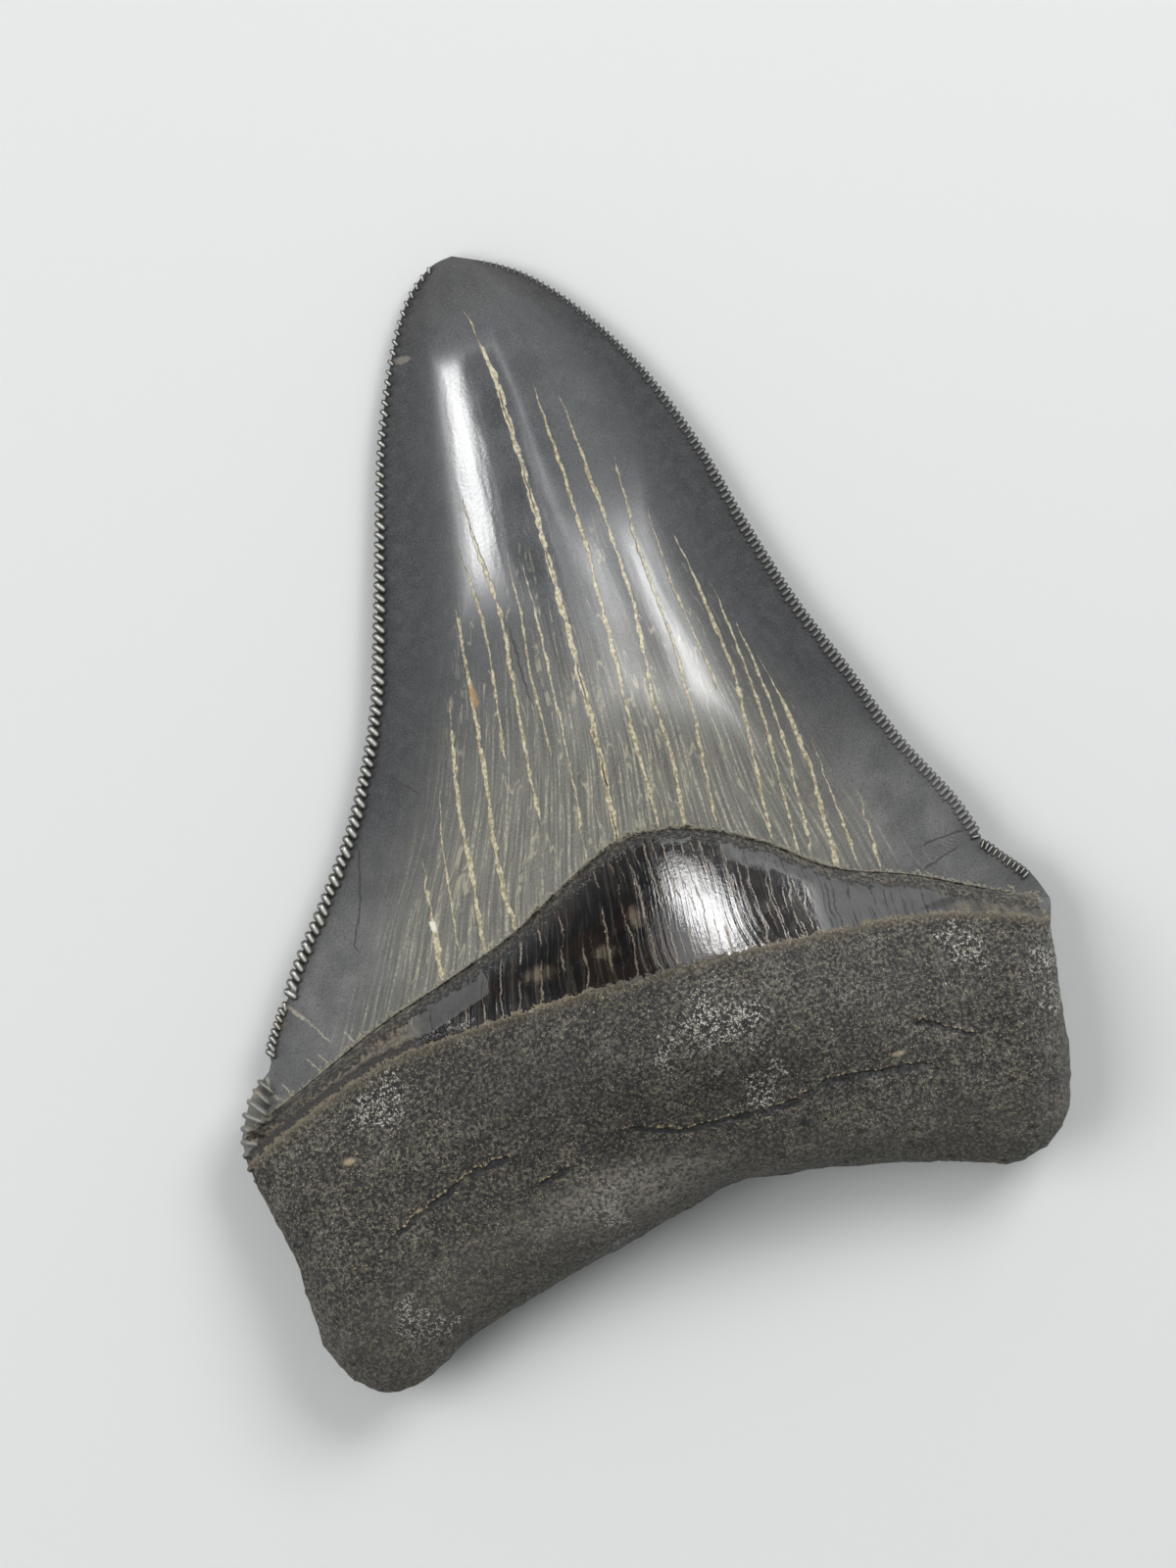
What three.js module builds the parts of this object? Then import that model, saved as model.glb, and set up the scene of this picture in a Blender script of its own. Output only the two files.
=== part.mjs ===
// A fossil megalodon tooth, lying on its flat labial face with the domed lingual face up.
// Millimetres, +Z up, +Y towards the tip. It grew as one body: a serrated enamel crown, the
// narrow bourlette below the enamel, and a thick porous root with two lobes.
import * as THREE from "three";

// Thickness of the tooth, from the surface it lies on to its lingual face
const tipThickness = 1.2;
const enamelBaseThickness = 14;
const bourletteThickness = 18.4;
const torusThickness = 20.3;
const creaseThickness = 17.6;
const lobeThickness = 12;

// Height at which the lingual and labial faces meet, along the outline
const midCrownEdgeHeight = 2.2;
const shoulderHeight = 4.6;
const basalEdgeHeight = 6.5;

// Small relief
const enamelStep = 0.45;
const bourletteBulge = 0.7;
const serrationPitch = 0.9;
const serrationDepth = 0.5;
const tipWear = 9; // length along the edge, from the tip, over which the saw teeth are worn away

// Chips broken out of the cutting edges: length down the edge from the tip, depth, half length
const leftChips = [[70.5, 0.35, 0.5], [77.4, 1, 1.4]];
const rightChips = [[72.9, 0.35, 0.5]];

// Shares of the way across the tooth
const crownRidge = 0.5;
const rootRidge = 0.57;
const domeFoot = 0.1; // where the crown's dome starts to rise from its flatter margin
const marginRise = 0.3; // of the crown's rise that is spread evenly, so that the margin isn't level
const underBevel = 0.5; // of the half width, over which the crown's labial face rises to its edges
const roundedSide = 0.15; // of the half width, taken up by the rounded flanks of the root

// How finely the skin is divided
const crownRows = 38;
const columns = 22;
const bourletteStations = [1.1, 1.4, 1.7, 2];
const torusRows = 7;
const basalRows = 8;

// Bands of the skin: 0 to 1 is crown, 1 to 2 bourlette, 2 to 3 root torus, 3 to 4 basal slope
const BASAL_EDGE = 4;

const spline = (points) => new THREE.SplineCurve(points.map(([x, y]) => new THREE.Vector2(x, y)));

// The lines that run along the left and the right side, each from the tip's end downwards
const tip = [-2.6, 54.1];
const leftShoulder = [-43.8, -16.4];
const rightShoulder = [32, -17];
const leftSide = [
  spline([
    tip, [-5, 53.6], [-8, 51.1], [-10.9, 46.4], [-13.8, 39.9], [-16.3, 32.4], [-19, 24], [-21.8, 16.1],
    [-26.2, 8], [-30.5, 2.2], [-34.4, -2.5], [-37.3, -6.5], [-39.7, -9.9], [-42.1, -13.2], leftShoulder,
  ]),
  spline([leftShoulder, [-44, -18.8]]),
  spline([[-44, -18.8], [-43.6, -21.4], [-42.6, -26.3], [-42.3, -30]]),
  spline([[-42.3, -30], [-42.3, -34], [-42, -37], [-40.5, -40.2]]),
];
const rightSide = [
  spline([
    tip, [1.4, 52.1], [4.4, 49.7], [7.7, 45.5], [11.2, 39.2], [14, 31.4], [16, 23.2], [18.2, 15.4],
    [20.9, 8.2], [23.5, 0.9], [26.6, -5.6], [28.3, -10.4], [30.9, -14], rightShoulder,
  ]),
  spline([rightShoulder, [31.5, -18.8]]),
  spline([[31.5, -18.8], [30.7, -24.3], [29.7, -29.5]]),
  spline([[29.7, -29.5], [28.9, -33], [27.6, -36], [25.2, -38.2]]),
];

// The lines that cross the tooth from left to right, one below each band
const crossLines = [
  spline([ // the enamel's lower edge
    leftShoulder, [-36.2, -13.3], [-29.2, -10.4], [-22.1, -8.2], [-15.5, -6], [-8.9, -2.7], [-4.7, -0.9],
    [-0.4, -0.5], [4.2, -1.9], [8.9, -4.6], [14.1, -8.6], [20.7, -11.3], [26.2, -14.2], rightShoulder,
  ]),
  spline([ // where the bourlette meets the root
    [-44, -18.8], [-36.8, -15.8], [-29.6, -13.6], [-22.1, -12.9], [-13.8, -12.7], [-5.6, -12.7],
    [1.7, -13], [8, -13.5], [18.9, -14.6], [26.5, -16.6], [31.5, -18.8],
  ]),
  spline([ // the crease below the torus
    [-42.3, -30], [-33.3, -28.4], [-27.2, -27.2], [-14.9, -27.8], [-5.3, -27.2], [3.9, -27], [16.4, -28.2],
    [29.7, -29.5],
  ]),
  spline([ // the basal edge, from lobe to lobe
    [-40.5, -40.2], [-37.5, -42.1], [-33.8, -41.8], [-29.4, -39.6], [-21.4, -37.4], [-13.4, -35.4],
    [-7.5, -34.2], [-3, -33], [1.8, -33.7], [10.5, -35.3], [16.5, -36.9], [21.5, -38.6], [25.2, -38.2],
  ]),
];

const { clamp, smoothstep, lerp } = THREE.MathUtils;

// A smooth curve of height through stations given as [band, height] pairs
function profile(stations) {
  const curve = new THREE.CubicInterpolant(
    stations.map(([band]) => band), stations.map(([, height]) => height), 1,
  );
  return (band) => curve.evaluate(band)[0];
}

const ridgeHeight = profile([
  [0, tipThickness], [0.06, 3.1], [0.15, 5.3], [0.3, 8.1], [0.5, 10.5], [0.75, 12.6],
  [1, enamelBaseThickness], [1.5, 16.3], [2, bourletteThickness], [2.5, torusThickness],
  [3, creaseThickness], [BASAL_EDGE, creaseThickness],
]);
const flankHeight = profile([
  [0, 5], [1, 6.5], [2, 8.6], [2.5, 10.8], [3, lobeThickness], [BASAL_EDGE, lobeThickness],
]);
const rimHeight = profile([
  [0, tipThickness], [0.2, 1.5], [0.5, midCrownEdgeHeight], [0.85, 3.4], [1, shoulderHeight],
  [2, 5.4], [3, 6], [BASAL_EDGE, basalEdgeHeight],
]);

// Quarter-round rise from 0 to 1, used where a side or an end is rounded over
const roundOver = (share) => Math.sqrt(1 - (1 - clamp(share, 0, 1)) ** 2);

// Place of a point in plan: each band is a patch stretched between its four lines
function planPoint(across, band) {
  const index = Math.min(Math.floor(band), 3);
  const down = band - index;
  const left = leftSide[index].getPointAt(down);
  const right = rightSide[index].getPointAt(down);
  const upper = index === 0 ? new THREE.Vector2(...tip) : crossLines[index - 1].getPointAt(across);
  const lower = crossLines[index].getPointAt(across);
  const leftChord = leftSide[index].getPointAt(0).lerp(leftSide[index].getPointAt(1), down);
  const rightChord = rightSide[index].getPointAt(0).lerp(rightSide[index].getPointAt(1), down);
  const crossing = upper.lerp(lower, down);
  const sideways = left.sub(leftChord).lerp(right.sub(rightChord), across);
  return crossing.add(sideways);
}

// How far a point lies from the sides: 0 on the outline, 1 on the ridge
function inward(across, band) {
  const ridge = lerp(crownRidge, rootRidge, smoothstep(band, 0.5, 2));
  return Math.min(across / ridge, (1 - across) / (1 - ridge));
}

// The crown's lingual face: flat along both margins, then a crease and the dome
function crownDome(share) {
  const left = 1 - clamp((share - domeFoot) / (1 - domeFoot), 0, 1);
  const dome = 1 - left ** 3 * (4 - 3 * left);
  return marginRise * Math.sin(share * Math.PI / 2) + (1 - marginRise) * dome;
}

// The basal slope rounds over from the crease down to the basal edge
const basalRound = (band) => (band <= 3 ? 1 : Math.sqrt(Math.max(0, 1 - (band - 3) ** 2)));

// The enamel ends in a small step, below which the bourlette swells
function smallRelief(share, band) {
  const fade = smoothstep(share, 0, 0.15);
  const step = -enamelStep * smoothstep(band, 1, 1.1) * (1 - smoothstep(band, 2, 2.6));
  const bulge = band > 1 && band < 2 ? bourletteBulge * Math.sin((band - 1) * Math.PI) : 0;
  return fade * (step + bulge);
}

function lingualHeight(across, band) {
  const share = inward(across, band);
  const rim = rimHeight(band);
  const ridge = ridgeHeight(band);
  const crown = (ridge - rim) * crownDome(share);
  const body = lerp(flankHeight(band), ridge, smoothstep(share, roundedSide, 1));
  const root = (body - rim) * roundOver(share / roundedSide) * basalRound(band);
  return rim + lerp(crown, root, smoothstep(band, 0.9, 2)) + smallRelief(share, band);
}

function labialHeight(across, band) {
  const share = inward(across, band);
  const crown = 1 - (1 - clamp(share / underBevel, 0, 1)) ** 2;
  const root = roundOver(share / roundedSide) * basalRound(band);
  const depth = lerp(crown, root, smoothstep(band, 0.9, 2)) * roundOver(band / 0.06);
  return rimHeight(band) * (1 - depth);
}

// Every vertex of the closed skin, and the triangles between them
const positions = [];
const triangles = [];
function addVertex(place, height, band) {
  positions.push(place.x, place.y, height);
  return { id: positions.length / 3 - 1, band };
}
const addTriangle = (a, b, c) => triangles.push(a.id, b.id, c.id);

const tipVertex = addVertex(new THREE.Vector2(...tip), tipThickness, 0);

// One side of the outline below the tip: saw teeth as peaks and hollows down to the shoulder,
// then the plain side of the root
function outlineVertices(side, across, chips, rootStations) {
  const edge = side[0];
  const length = edge.getLength();
  const halfTeeth = 2 * Math.round(length / serrationPitch);
  const outward = across === 0 ? 1 : -1;
  const vertices = [];
  for (let k = 1; k <= halfTeeth; k++) {
    const band = k / halfTeeth;
    const place = edge.getPointAt(band);
    const direction = edge.getTangentAt(band);
    const fade = smoothstep(band * length, 1, tipWear) * (k === halfTeeth ? 0 : 1);
    const chipped = chips.reduce((sum, [at, depth, half]) =>
      sum + depth * Math.exp(-(((band * length - at) / half) ** 2)), 0);
    const reach = ((k % 2 ? 0.5 : -0.5) * serrationDepth * fade - chipped) * outward;
    place.x += direction.y * reach;
    place.y -= direction.x * reach;
    vertices.push(addVertex(place, rimHeight(band), band));
  }
  for (const band of rootStations) vertices.push(addVertex(planPoint(across, band), rimHeight(band), band));
  return vertices;
}

const crownStations = Array.from({ length: crownRows }, (_, k) => ((k + 1) / crownRows) ** 1.2);
const torusStations = Array.from({ length: torusRows }, (_, k) => 2 + (k + 1) / torusRows);
const basalStations = Array.from({ length: basalRows }, (_, k) => 3 + Math.sin((k + 1) / basalRows * Math.PI / 2));
const rootStations = [...bourletteStations, ...torusStations, ...basalStations];
const stations = [...crownStations, ...rootStations];
const acrossShares = Array.from({ length: columns - 1 }, (_, k) => {
  const even = (k + 1) / columns;
  return lerp(even, 0.5 - 0.5 * Math.cos(even * Math.PI), 0.6); // closer together near the sides
});

const leftOutline = [tipVertex, ...outlineVertices(leftSide, 0, leftChips, rootStations)];
const rightOutline = [tipVertex, ...outlineVertices(rightSide, 1, rightChips, rootStations)];
const basalEdge = acrossShares.map((across) =>
  addVertex(planPoint(across, BASAL_EDGE), rimHeight(BASAL_EDGE), BASAL_EDGE));

// Closes the gap between two lines of vertices that both run from the tip to the base
function zip(first, second, turn) {
  let i = 0;
  let j = 0;
  while (i < first.length - 1 || j < second.length - 1) {
    const stepFirst = j === second.length - 1
      || (i < first.length - 1 && first[i + 1].band <= second[j + 1].band);
    const corner = stepFirst ? first[i + 1] : second[j + 1];
    if (turn) addTriangle(first[i], second[j], corner);
    else addTriangle(second[j], first[i], corner);
    if (stepFirst) i++;
    else j++;
  }
}

// One face of the tooth: its inner columns zipped to each other, to the tip and to both outlines
function addFace(height, turn) {
  const rows = stations.slice(0, -1).map((band) =>
    acrossShares.map((across) => addVertex(planPoint(across, band), height(across, band), band)));
  rows.push(basalEdge);
  const lines = acrossShares.map((_, k) => rows.map((row) => row[k]));
  for (let k = 1; k < lines.length; k++) {
    if (turn) addTriangle(tipVertex, lines[k - 1][0], lines[k][0]);
    else addTriangle(tipVertex, lines[k][0], lines[k - 1][0]);
    zip(lines[k - 1], lines[k], !turn);
  }
  zip(leftOutline, lines[0], !turn);
  zip(lines[lines.length - 1], rightOutline, !turn);
}
addFace(lingualHeight, true);
addFace(labialHeight, false);

const skin = new THREE.BufferGeometry();
skin.setAttribute("position", new THREE.Float32BufferAttribute(positions, 3));
skin.setIndex(triangles);
skin.computeBoundingBox();
const middle = skin.boundingBox.getCenter(new THREE.Vector3());
skin.translate(-middle.x, -middle.y, 0);
skin.computeVertexNormals();

const fossil = new THREE.MeshStandardMaterial({ color: 0x45474a, roughness: 0.38, metalness: 0 });
const tooth = new THREE.Mesh(skin, fossil);
tooth.name = "tooth";

const megalodonTooth = new THREE.Group();
megalodonTooth.add(tooth);

export default megalodonTooth;
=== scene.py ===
# %% [markdown]
# A fossil tooth in slate-grey enamel. It lies on its flat labial face, so the camera looks down on the
# domed lingual face. From the tip it has a serrated enamel crown with cream cracks, a narrow glossy
# band called the bourlette, and a thick sandy root with two lobes.
# The packed solid gives the place and the size. This lesson rebuilds its skin much more finely, adds
# the saw teeth with Geometry Nodes, and paints everything with one procedural material.

# %% Load the frame and the tools
import bpy
import math
import numpy as np
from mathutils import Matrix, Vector
from mathutils.bvhtree import BVHTree


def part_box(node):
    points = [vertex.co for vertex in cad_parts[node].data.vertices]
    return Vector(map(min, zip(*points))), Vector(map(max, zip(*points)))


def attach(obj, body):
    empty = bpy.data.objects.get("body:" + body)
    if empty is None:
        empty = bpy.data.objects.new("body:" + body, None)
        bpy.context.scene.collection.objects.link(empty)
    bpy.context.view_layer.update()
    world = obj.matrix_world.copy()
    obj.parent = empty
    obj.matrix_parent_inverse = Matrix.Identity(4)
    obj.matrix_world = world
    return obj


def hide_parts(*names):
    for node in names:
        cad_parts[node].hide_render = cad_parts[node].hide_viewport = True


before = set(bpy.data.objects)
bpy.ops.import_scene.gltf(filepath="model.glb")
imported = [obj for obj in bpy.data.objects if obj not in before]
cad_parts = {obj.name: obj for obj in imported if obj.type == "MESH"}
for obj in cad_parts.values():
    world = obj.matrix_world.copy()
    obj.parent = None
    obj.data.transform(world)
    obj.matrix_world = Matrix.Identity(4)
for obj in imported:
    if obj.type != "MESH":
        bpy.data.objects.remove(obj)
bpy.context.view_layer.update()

low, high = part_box("tooth")
print("the solid reaches from", [round(v, 4) for v in low], "to", [round(v, 4) for v in high])

# %% [markdown]
# The outline is a few given points, in millimetres on the tooth's own axes, and joined by
# Catmull-Rom curves. Each curve is then measured along its length, so a share of 0.5 is always the
# middle of the way. A NumPy array holds all samples at once, which is far quicker than a loop.

# %% A smooth line through a few points
MM = 0.001
TIP = (-2.6, 54.1)
LEFT_SHOULDER = (-43.8, -16.4)
RIGHT_SHOULDER = (32.0, -17.0)
SAMPLES_PER_SPAN = 40


def smooth_line(points):
    """Returns a function that gives the place at each share of the line's length."""
    knots = np.array(points, float)
    ends = np.vstack([knots[:1], knots, knots[-1:]])
    t = np.linspace(0, 1, SAMPLES_PER_SPAN, endpoint=False)[:, None]
    spans = []
    for before, start, stop, after in zip(ends[:-3], ends[1:-2], ends[2:-1], ends[3:]):
        leaving = (stop - before) / 2
        arriving = (after - start) / 2
        cubic = 2 * start - 2 * stop + leaving + arriving
        square = 3 * stop - 3 * start - 2 * leaving - arriving
        spans.append(((cubic * t + square) * t + leaving) * t + start)
    path = np.vstack(spans + [knots[-1:]])
    travelled = np.concatenate([[0], np.cumsum(np.linalg.norm(np.diff(path, axis=0), axis=1))])
    length = travelled[-1]

    def place(share):
        along = np.asarray(share) * length
        return np.stack([np.interp(along, travelled, path[:, axis]) for axis in (0, 1)], axis=-1)

    place.length = length
    return place


# %% The lines down both sides, and the lines across
left_side = [
    smooth_line([TIP, (-5, 53.6), (-8, 51.1), (-10.9, 46.4), (-13.8, 39.9), (-16.3, 32.4), (-19, 24),
                 (-21.8, 16.1), (-26.2, 8), (-30.5, 2.2), (-34.4, -2.5), (-37.3, -6.5), (-39.7, -9.9),
                 (-42.1, -13.2), LEFT_SHOULDER]),
    smooth_line([LEFT_SHOULDER, (-44, -18.8)]),
    smooth_line([(-44, -18.8), (-43.6, -21.4), (-42.6, -26.3), (-42.3, -30)]),
    smooth_line([(-42.3, -30), (-42.3, -34), (-42, -37), (-40.5, -40.2)]),
]
right_side = [
    smooth_line([TIP, (1.4, 52.1), (4.4, 49.7), (7.7, 45.5), (11.2, 39.2), (14, 31.4), (16, 23.2),
                 (18.2, 15.4), (20.9, 8.2), (23.5, 0.9), (26.6, -5.6), (28.3, -10.4), (30.9, -14),
                 RIGHT_SHOULDER]),
    smooth_line([RIGHT_SHOULDER, (31.5, -18.8)]),
    smooth_line([(31.5, -18.8), (30.7, -24.3), (29.7, -29.5)]),
    smooth_line([(29.7, -29.5), (28.9, -33), (27.6, -36), (25.2, -38.2)]),
]
enamel_line = smooth_line([LEFT_SHOULDER, (-36.2, -13.3), (-29.2, -10.4), (-22.1, -8.2), (-15.5, -6),
                           (-8.9, -2.7), (-4.7, -0.9), (-0.4, -0.5), (4.2, -1.9), (8.9, -4.6),
                           (14.1, -8.6), (20.7, -11.3), (26.2, -14.2), RIGHT_SHOULDER])
root_line = smooth_line([(-44, -18.8), (-36.8, -15.8), (-29.6, -13.6), (-22.1, -12.9), (-13.8, -12.7),
                         (-5.6, -12.7), (1.7, -13), (8, -13.5), (18.9, -14.6), (26.5, -16.6),
                         (31.5, -18.8)])
crease_line = smooth_line([(-42.3, -30), (-33.3, -28.4), (-27.2, -27.2), (-14.9, -27.8), (-5.3, -27.2),
                           (3.9, -27), (16.4, -28.2), (29.7, -29.5)])
basal_line = smooth_line([(-40.5, -40.2), (-37.5, -42.1), (-33.8, -41.8), (-29.4, -39.6),
                          (-21.4, -37.4), (-13.4, -35.4), (-7.5, -34.2), (-3, -33), (1.8, -33.7),
                          (10.5, -35.3), (16.5, -36.9), (21.5, -38.6), (25.2, -38.2)])
cross_lines = [enamel_line, root_line, crease_line, basal_line]
print("cutting edges, mm:", round(left_side[0].length, 1), "left", round(right_side[0].length, 1), "right")

# %% [markdown]
# The skin has four bands: crown, bourlette, torus and basal slope. A band number of 1.5 means halfway
# down the bourlette. Each band is a Coons patch, which is a sheet stretched between four curves: the
# mean of the lines above and below, plus what the two sides bulge away from straight.

# %% Chips broken out of the cutting edges
# Each chip: length down the edge from the tip, depth, half length, in mm
LEFT_CHIPS = [(70.5, 0.35, 0.5), (77.4, 1.0, 1.4)]
RIGHT_CHIPS = [(72.9, 0.35, 0.5)]
CHIP_REACH = 1.6  # mm from the edge over which a chip's dent fades


def chip_depth(chips, length):
    dents = [depth * np.exp(-((length - at) / half) ** 2) for at, depth, half in chips]
    return sum(dents, np.zeros_like(length))


print("chips:", len(LEFT_CHIPS), "on the left edge,", len(RIGHT_CHIPS), "on the right edge")

# %% Place in plan for any share across and any band
EDGE_INSET = 0.2  # mm that the blade stays inside the outline, for the saw teeth to reach over


def plan_grid(across, bands):
    """Rows run down the tooth, columns from left to right; returns millimetres in plan."""
    rows = []
    for band in bands:
        index = min(int(band), 3)
        down = band - index
        left = left_side[index](down)
        right = right_side[index](down)
        upper = np.array([TIP]) if index == 0 else cross_lines[index - 1](across)
        lower = cross_lines[index](across)
        left_bulge = left - (left_side[index](0) * (1 - down) + left_side[index](1) * down)
        right_bulge = right - (right_side[index](0) * (1 - down) + right_side[index](1) * down)
        share = across[:, None]
        row = upper * (1 - down) + lower * down + left_bulge * (1 - share) + right_bulge * share
        if index == 0:
            width = np.linalg.norm(right - left)
            fade = min(1, 8 * (1 - down)) * min(1, 12 * down)
            push = EDGE_INSET * fade * (1 - 2 * share)
            push += chip_depth(LEFT_CHIPS, down * left_side[0].length) * np.exp(-share * width / CHIP_REACH)
            push -= (chip_depth(RIGHT_CHIPS, down * right_side[0].length)
                     * np.exp(-(1 - share) * width / CHIP_REACH))
            row = row + (right - left) / max(width, EDGE_INSET) * push
        rows.append(row)
    return np.array(rows)


print("middle of the enamel line, mm:", plan_grid(np.array([0.5]), [1.0])[0, 0].round(1))

# %% [markdown]
# Heights come from a few stations down the middle ridge, down the flanks and along the rim where the
# two faces meet. The crown's section is hollow near both cutting edges and domed in the middle. The
# root's section is thick with rounded sides. Between them the two sections are blended.

# %% Heights of the ridge, the flanks and the rim
RIDGE = [(0, 1.2), (0.06, 3.1), (0.15, 5.3), (0.3, 8.1), (0.5, 10.5), (0.75, 12.6), (1, 14),
         (1.5, 16.3), (2, 18.4), (2.5, 20.3), (3, 17.6), (4, 17.6)]
FLANK = [(0, 5), (1, 6.5), (2, 8.6), (2.5, 10.8), (3, 12), (4, 12)]
RIM = [(0, 1.2), (0.2, 1.5), (0.5, 2.2), (0.85, 3.4), (1, 4.6), (2, 5.4), (3, 6), (4, 6.5)]


def profile(stations, band):
    """A smooth height through the stations, with slopes taken from their neighbours."""
    at, height = np.array(stations, float).T
    slope = np.gradient(height, at)
    slope[0] = (height[1] - height[0]) / (at[1] - at[0])
    slope[-1] = 0
    i = np.clip(np.searchsorted(at, band, side="right") - 1, 0, len(at) - 2)
    span = at[i + 1] - at[i]
    t = (band - at[i]) / span
    start = (1 + 2 * t) * (1 - t) ** 2 * height[i] + t * (1 - t) ** 2 * span * slope[i]
    stop = t ** 2 * (3 - 2 * t) * height[i + 1] + t ** 2 * (t - 1) * span * slope[i + 1]
    return start + stop


def smoothstep(value, start, stop):
    t = np.clip((value - start) / (stop - start), 0, 1)
    return t * t * (3 - 2 * t)


def round_over(share):
    return np.sqrt(1 - (1 - np.clip(share, 0, 1)) ** 2)


print("ridge above the rim where the enamel ends, mm:", round(profile(RIDGE, 1.0) - profile(RIM, 1.0), 1))

# %% Heights of both faces
CROWN_RIDGE = 0.5
ROOT_RIDGE = 0.57
ROUNDED_SIDE = 0.15
UNDER_BEVEL = 0.5
DOME_FOOT = 0.2
MARGIN_RISE = 0.25
ENAMEL_STEP = 0.5
BOURLETTE_BULGE = 0.45
CREASE_DEPTH = 0.4
CREASE_BAND = 3.0
CREASE_WIDTH = 0.3  # in bands
CROWN_TO_ROOT = (0.9, 2)  # bands over which the crown's section turns into the root's
BLUNT_TIP = 0.06  # bands over which the labial face rounds off at the tip


def inward(across, band):
    """0 on the outline, 1 on the ridge."""
    ridge = CROWN_RIDGE + (ROOT_RIDGE - CROWN_RIDGE) * smoothstep(band, 0.5, 2)
    return np.minimum(across / ridge, (1 - across) / (1 - ridge))


def basal_round(band):
    return np.sqrt(np.clip(1 - np.clip(band - 3, 0, 1) ** 2, 0, 1))


def crown_dome(share):
    left = 1 - np.clip((share - DOME_FOOT) / (1 - DOME_FOOT), 0, 1)
    dome = 1 - left ** 3 * (4 - 3 * left)
    return MARGIN_RISE * np.sin(share * np.pi / 2) + (1 - MARGIN_RISE) * dome


def lingual_height(across, band):
    share = inward(across, band)
    rim = profile(RIM, band)
    ridge = profile(RIDGE, band)
    flank = profile(FLANK, band)
    crown = (ridge - rim) * crown_dome(share)
    body = flank + (ridge - flank) * smoothstep(share, ROUNDED_SIDE, 1)
    root = (body - rim) * round_over(share / ROUNDED_SIDE) * basal_round(band)
    blend = smoothstep(band, *CROWN_TO_ROOT)
    step = -ENAMEL_STEP * smoothstep(band, 1, 1.035) * (1 - smoothstep(band, 2, 2.6))
    bulge = BOURLETTE_BULGE * np.sin(np.clip(band - 1, 0, 1) * np.pi)
    crease = np.exp(-((band - CREASE_BAND) / CREASE_WIDTH) ** 2) * smoothstep(share, 0.1, 0.45)
    relief = smoothstep(share, 0, ROUNDED_SIDE) * (step + bulge - CREASE_DEPTH * crease)
    return rim + crown * (1 - blend) + root * blend + relief


def labial_height(across, band):
    share = inward(across, band)
    crown = 1 - (1 - np.clip(share / UNDER_BEVEL, 0, 1)) ** 2
    root = round_over(share / ROUNDED_SIDE) * basal_round(band)
    blend = smoothstep(band, *CROWN_TO_ROOT)
    depth = (crown * (1 - blend) + root * blend) * round_over(band / BLUNT_TIP)
    return profile(RIM, band) * (1 - depth)


thickest = lingual_height(ROOT_RIDGE, 2.5) - labial_height(ROOT_RIDGE, 2.5)
print("thickness in the middle of the torus, mm:", thickest.round(1))

# %% [markdown]
# The skin is one closed mesh. The lingual face is a fine grid, twice as fine across the root as on the
# crown, because the root carries more relief. The labial face is coarser. Where a fine grid meets a
# coarse one, the coarse face simply takes all of the fine grid's corners, so no gap can open.

# %% How finely the skin is divided
CROWN_COLUMNS = 128
ROOT_COLUMNS = 2 * CROWN_COLUMNS
UNDER_STEP = 2
CROWN_ROWS = 150
BOURLETTE_ROWS = 34
TORUS_ROWS = 44
BASAL_ROWS = 62
SIDE_CROWDING = 0.6  # how strongly columns gather near the rounded sides


def shares_across(columns):
    even = np.linspace(0, 1, columns + 1)
    return even + (0.5 - 0.5 * np.cos(even * np.pi) - even) * SIDE_CROWDING


crown_bands = (np.arange(1, CROWN_ROWS + 1) / CROWN_ROWS) ** 1.15
bourlette_bands = 1 + np.arange(1, BOURLETTE_ROWS + 1) / BOURLETTE_ROWS
torus_bands = 2 + np.arange(1, TORUS_ROWS + 1) / TORUS_ROWS
basal_bands = 3 + np.sin(np.arange(1, BASAL_ROWS + 1) / BASAL_ROWS * np.pi / 2)
root_bands = np.concatenate([bourlette_bands, torus_bands, basal_bands])
print("rows down the tooth:", len(crown_bands) + len(root_bands))

# %% Places of all vertices, before the relief
crown_across = shares_across(CROWN_COLUMNS)
root_across = shares_across(ROOT_COLUMNS)
under_across = root_across[::UNDER_STEP]
all_bands = np.concatenate([crown_bands, root_bands])
under_rows = list(range(0, CROWN_ROWS - 1, UNDER_STEP)) + [CROWN_ROWS - 1]
under_rows += list(range(CROWN_ROWS + 1, len(all_bands) - 1, UNDER_STEP)) + [len(all_bands) - 1]


def face_grid(across, bands, height):
    plan = plan_grid(across, bands)
    across_field, band_field = np.meshgrid(across, bands)
    return np.dstack([plan, height(across_field, band_field)])


crown_grid = face_grid(crown_across, crown_bands, lingual_height)
root_grid = face_grid(root_across, root_bands, lingual_height)
under_grid = face_grid(under_across, all_bands[under_rows], labial_height)
print("corner places:", crown_grid.shape[:2], root_grid.shape[:2], under_grid.shape[:2])

# %% Number the vertices and join them into faces
vertices = [np.array([[TIP[0], TIP[1], RIM[0][1]]])]
crown_ids = 1 + np.arange(crown_grid.shape[0] * crown_grid.shape[1]).reshape(crown_grid.shape[:2])
vertices.append(crown_grid.reshape(-1, 3))
root_ids = crown_ids[-1, -1] + 1 + np.arange(root_grid.shape[0] * root_grid.shape[1])
root_ids = root_ids.reshape(root_grid.shape[:2])
vertices.append(root_grid.reshape(-1, 3))
left_ids = np.concatenate([crown_ids[:, 0], root_ids[:, 0]])
right_ids = np.concatenate([crown_ids[:, -1], root_ids[:, -1]])

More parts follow.
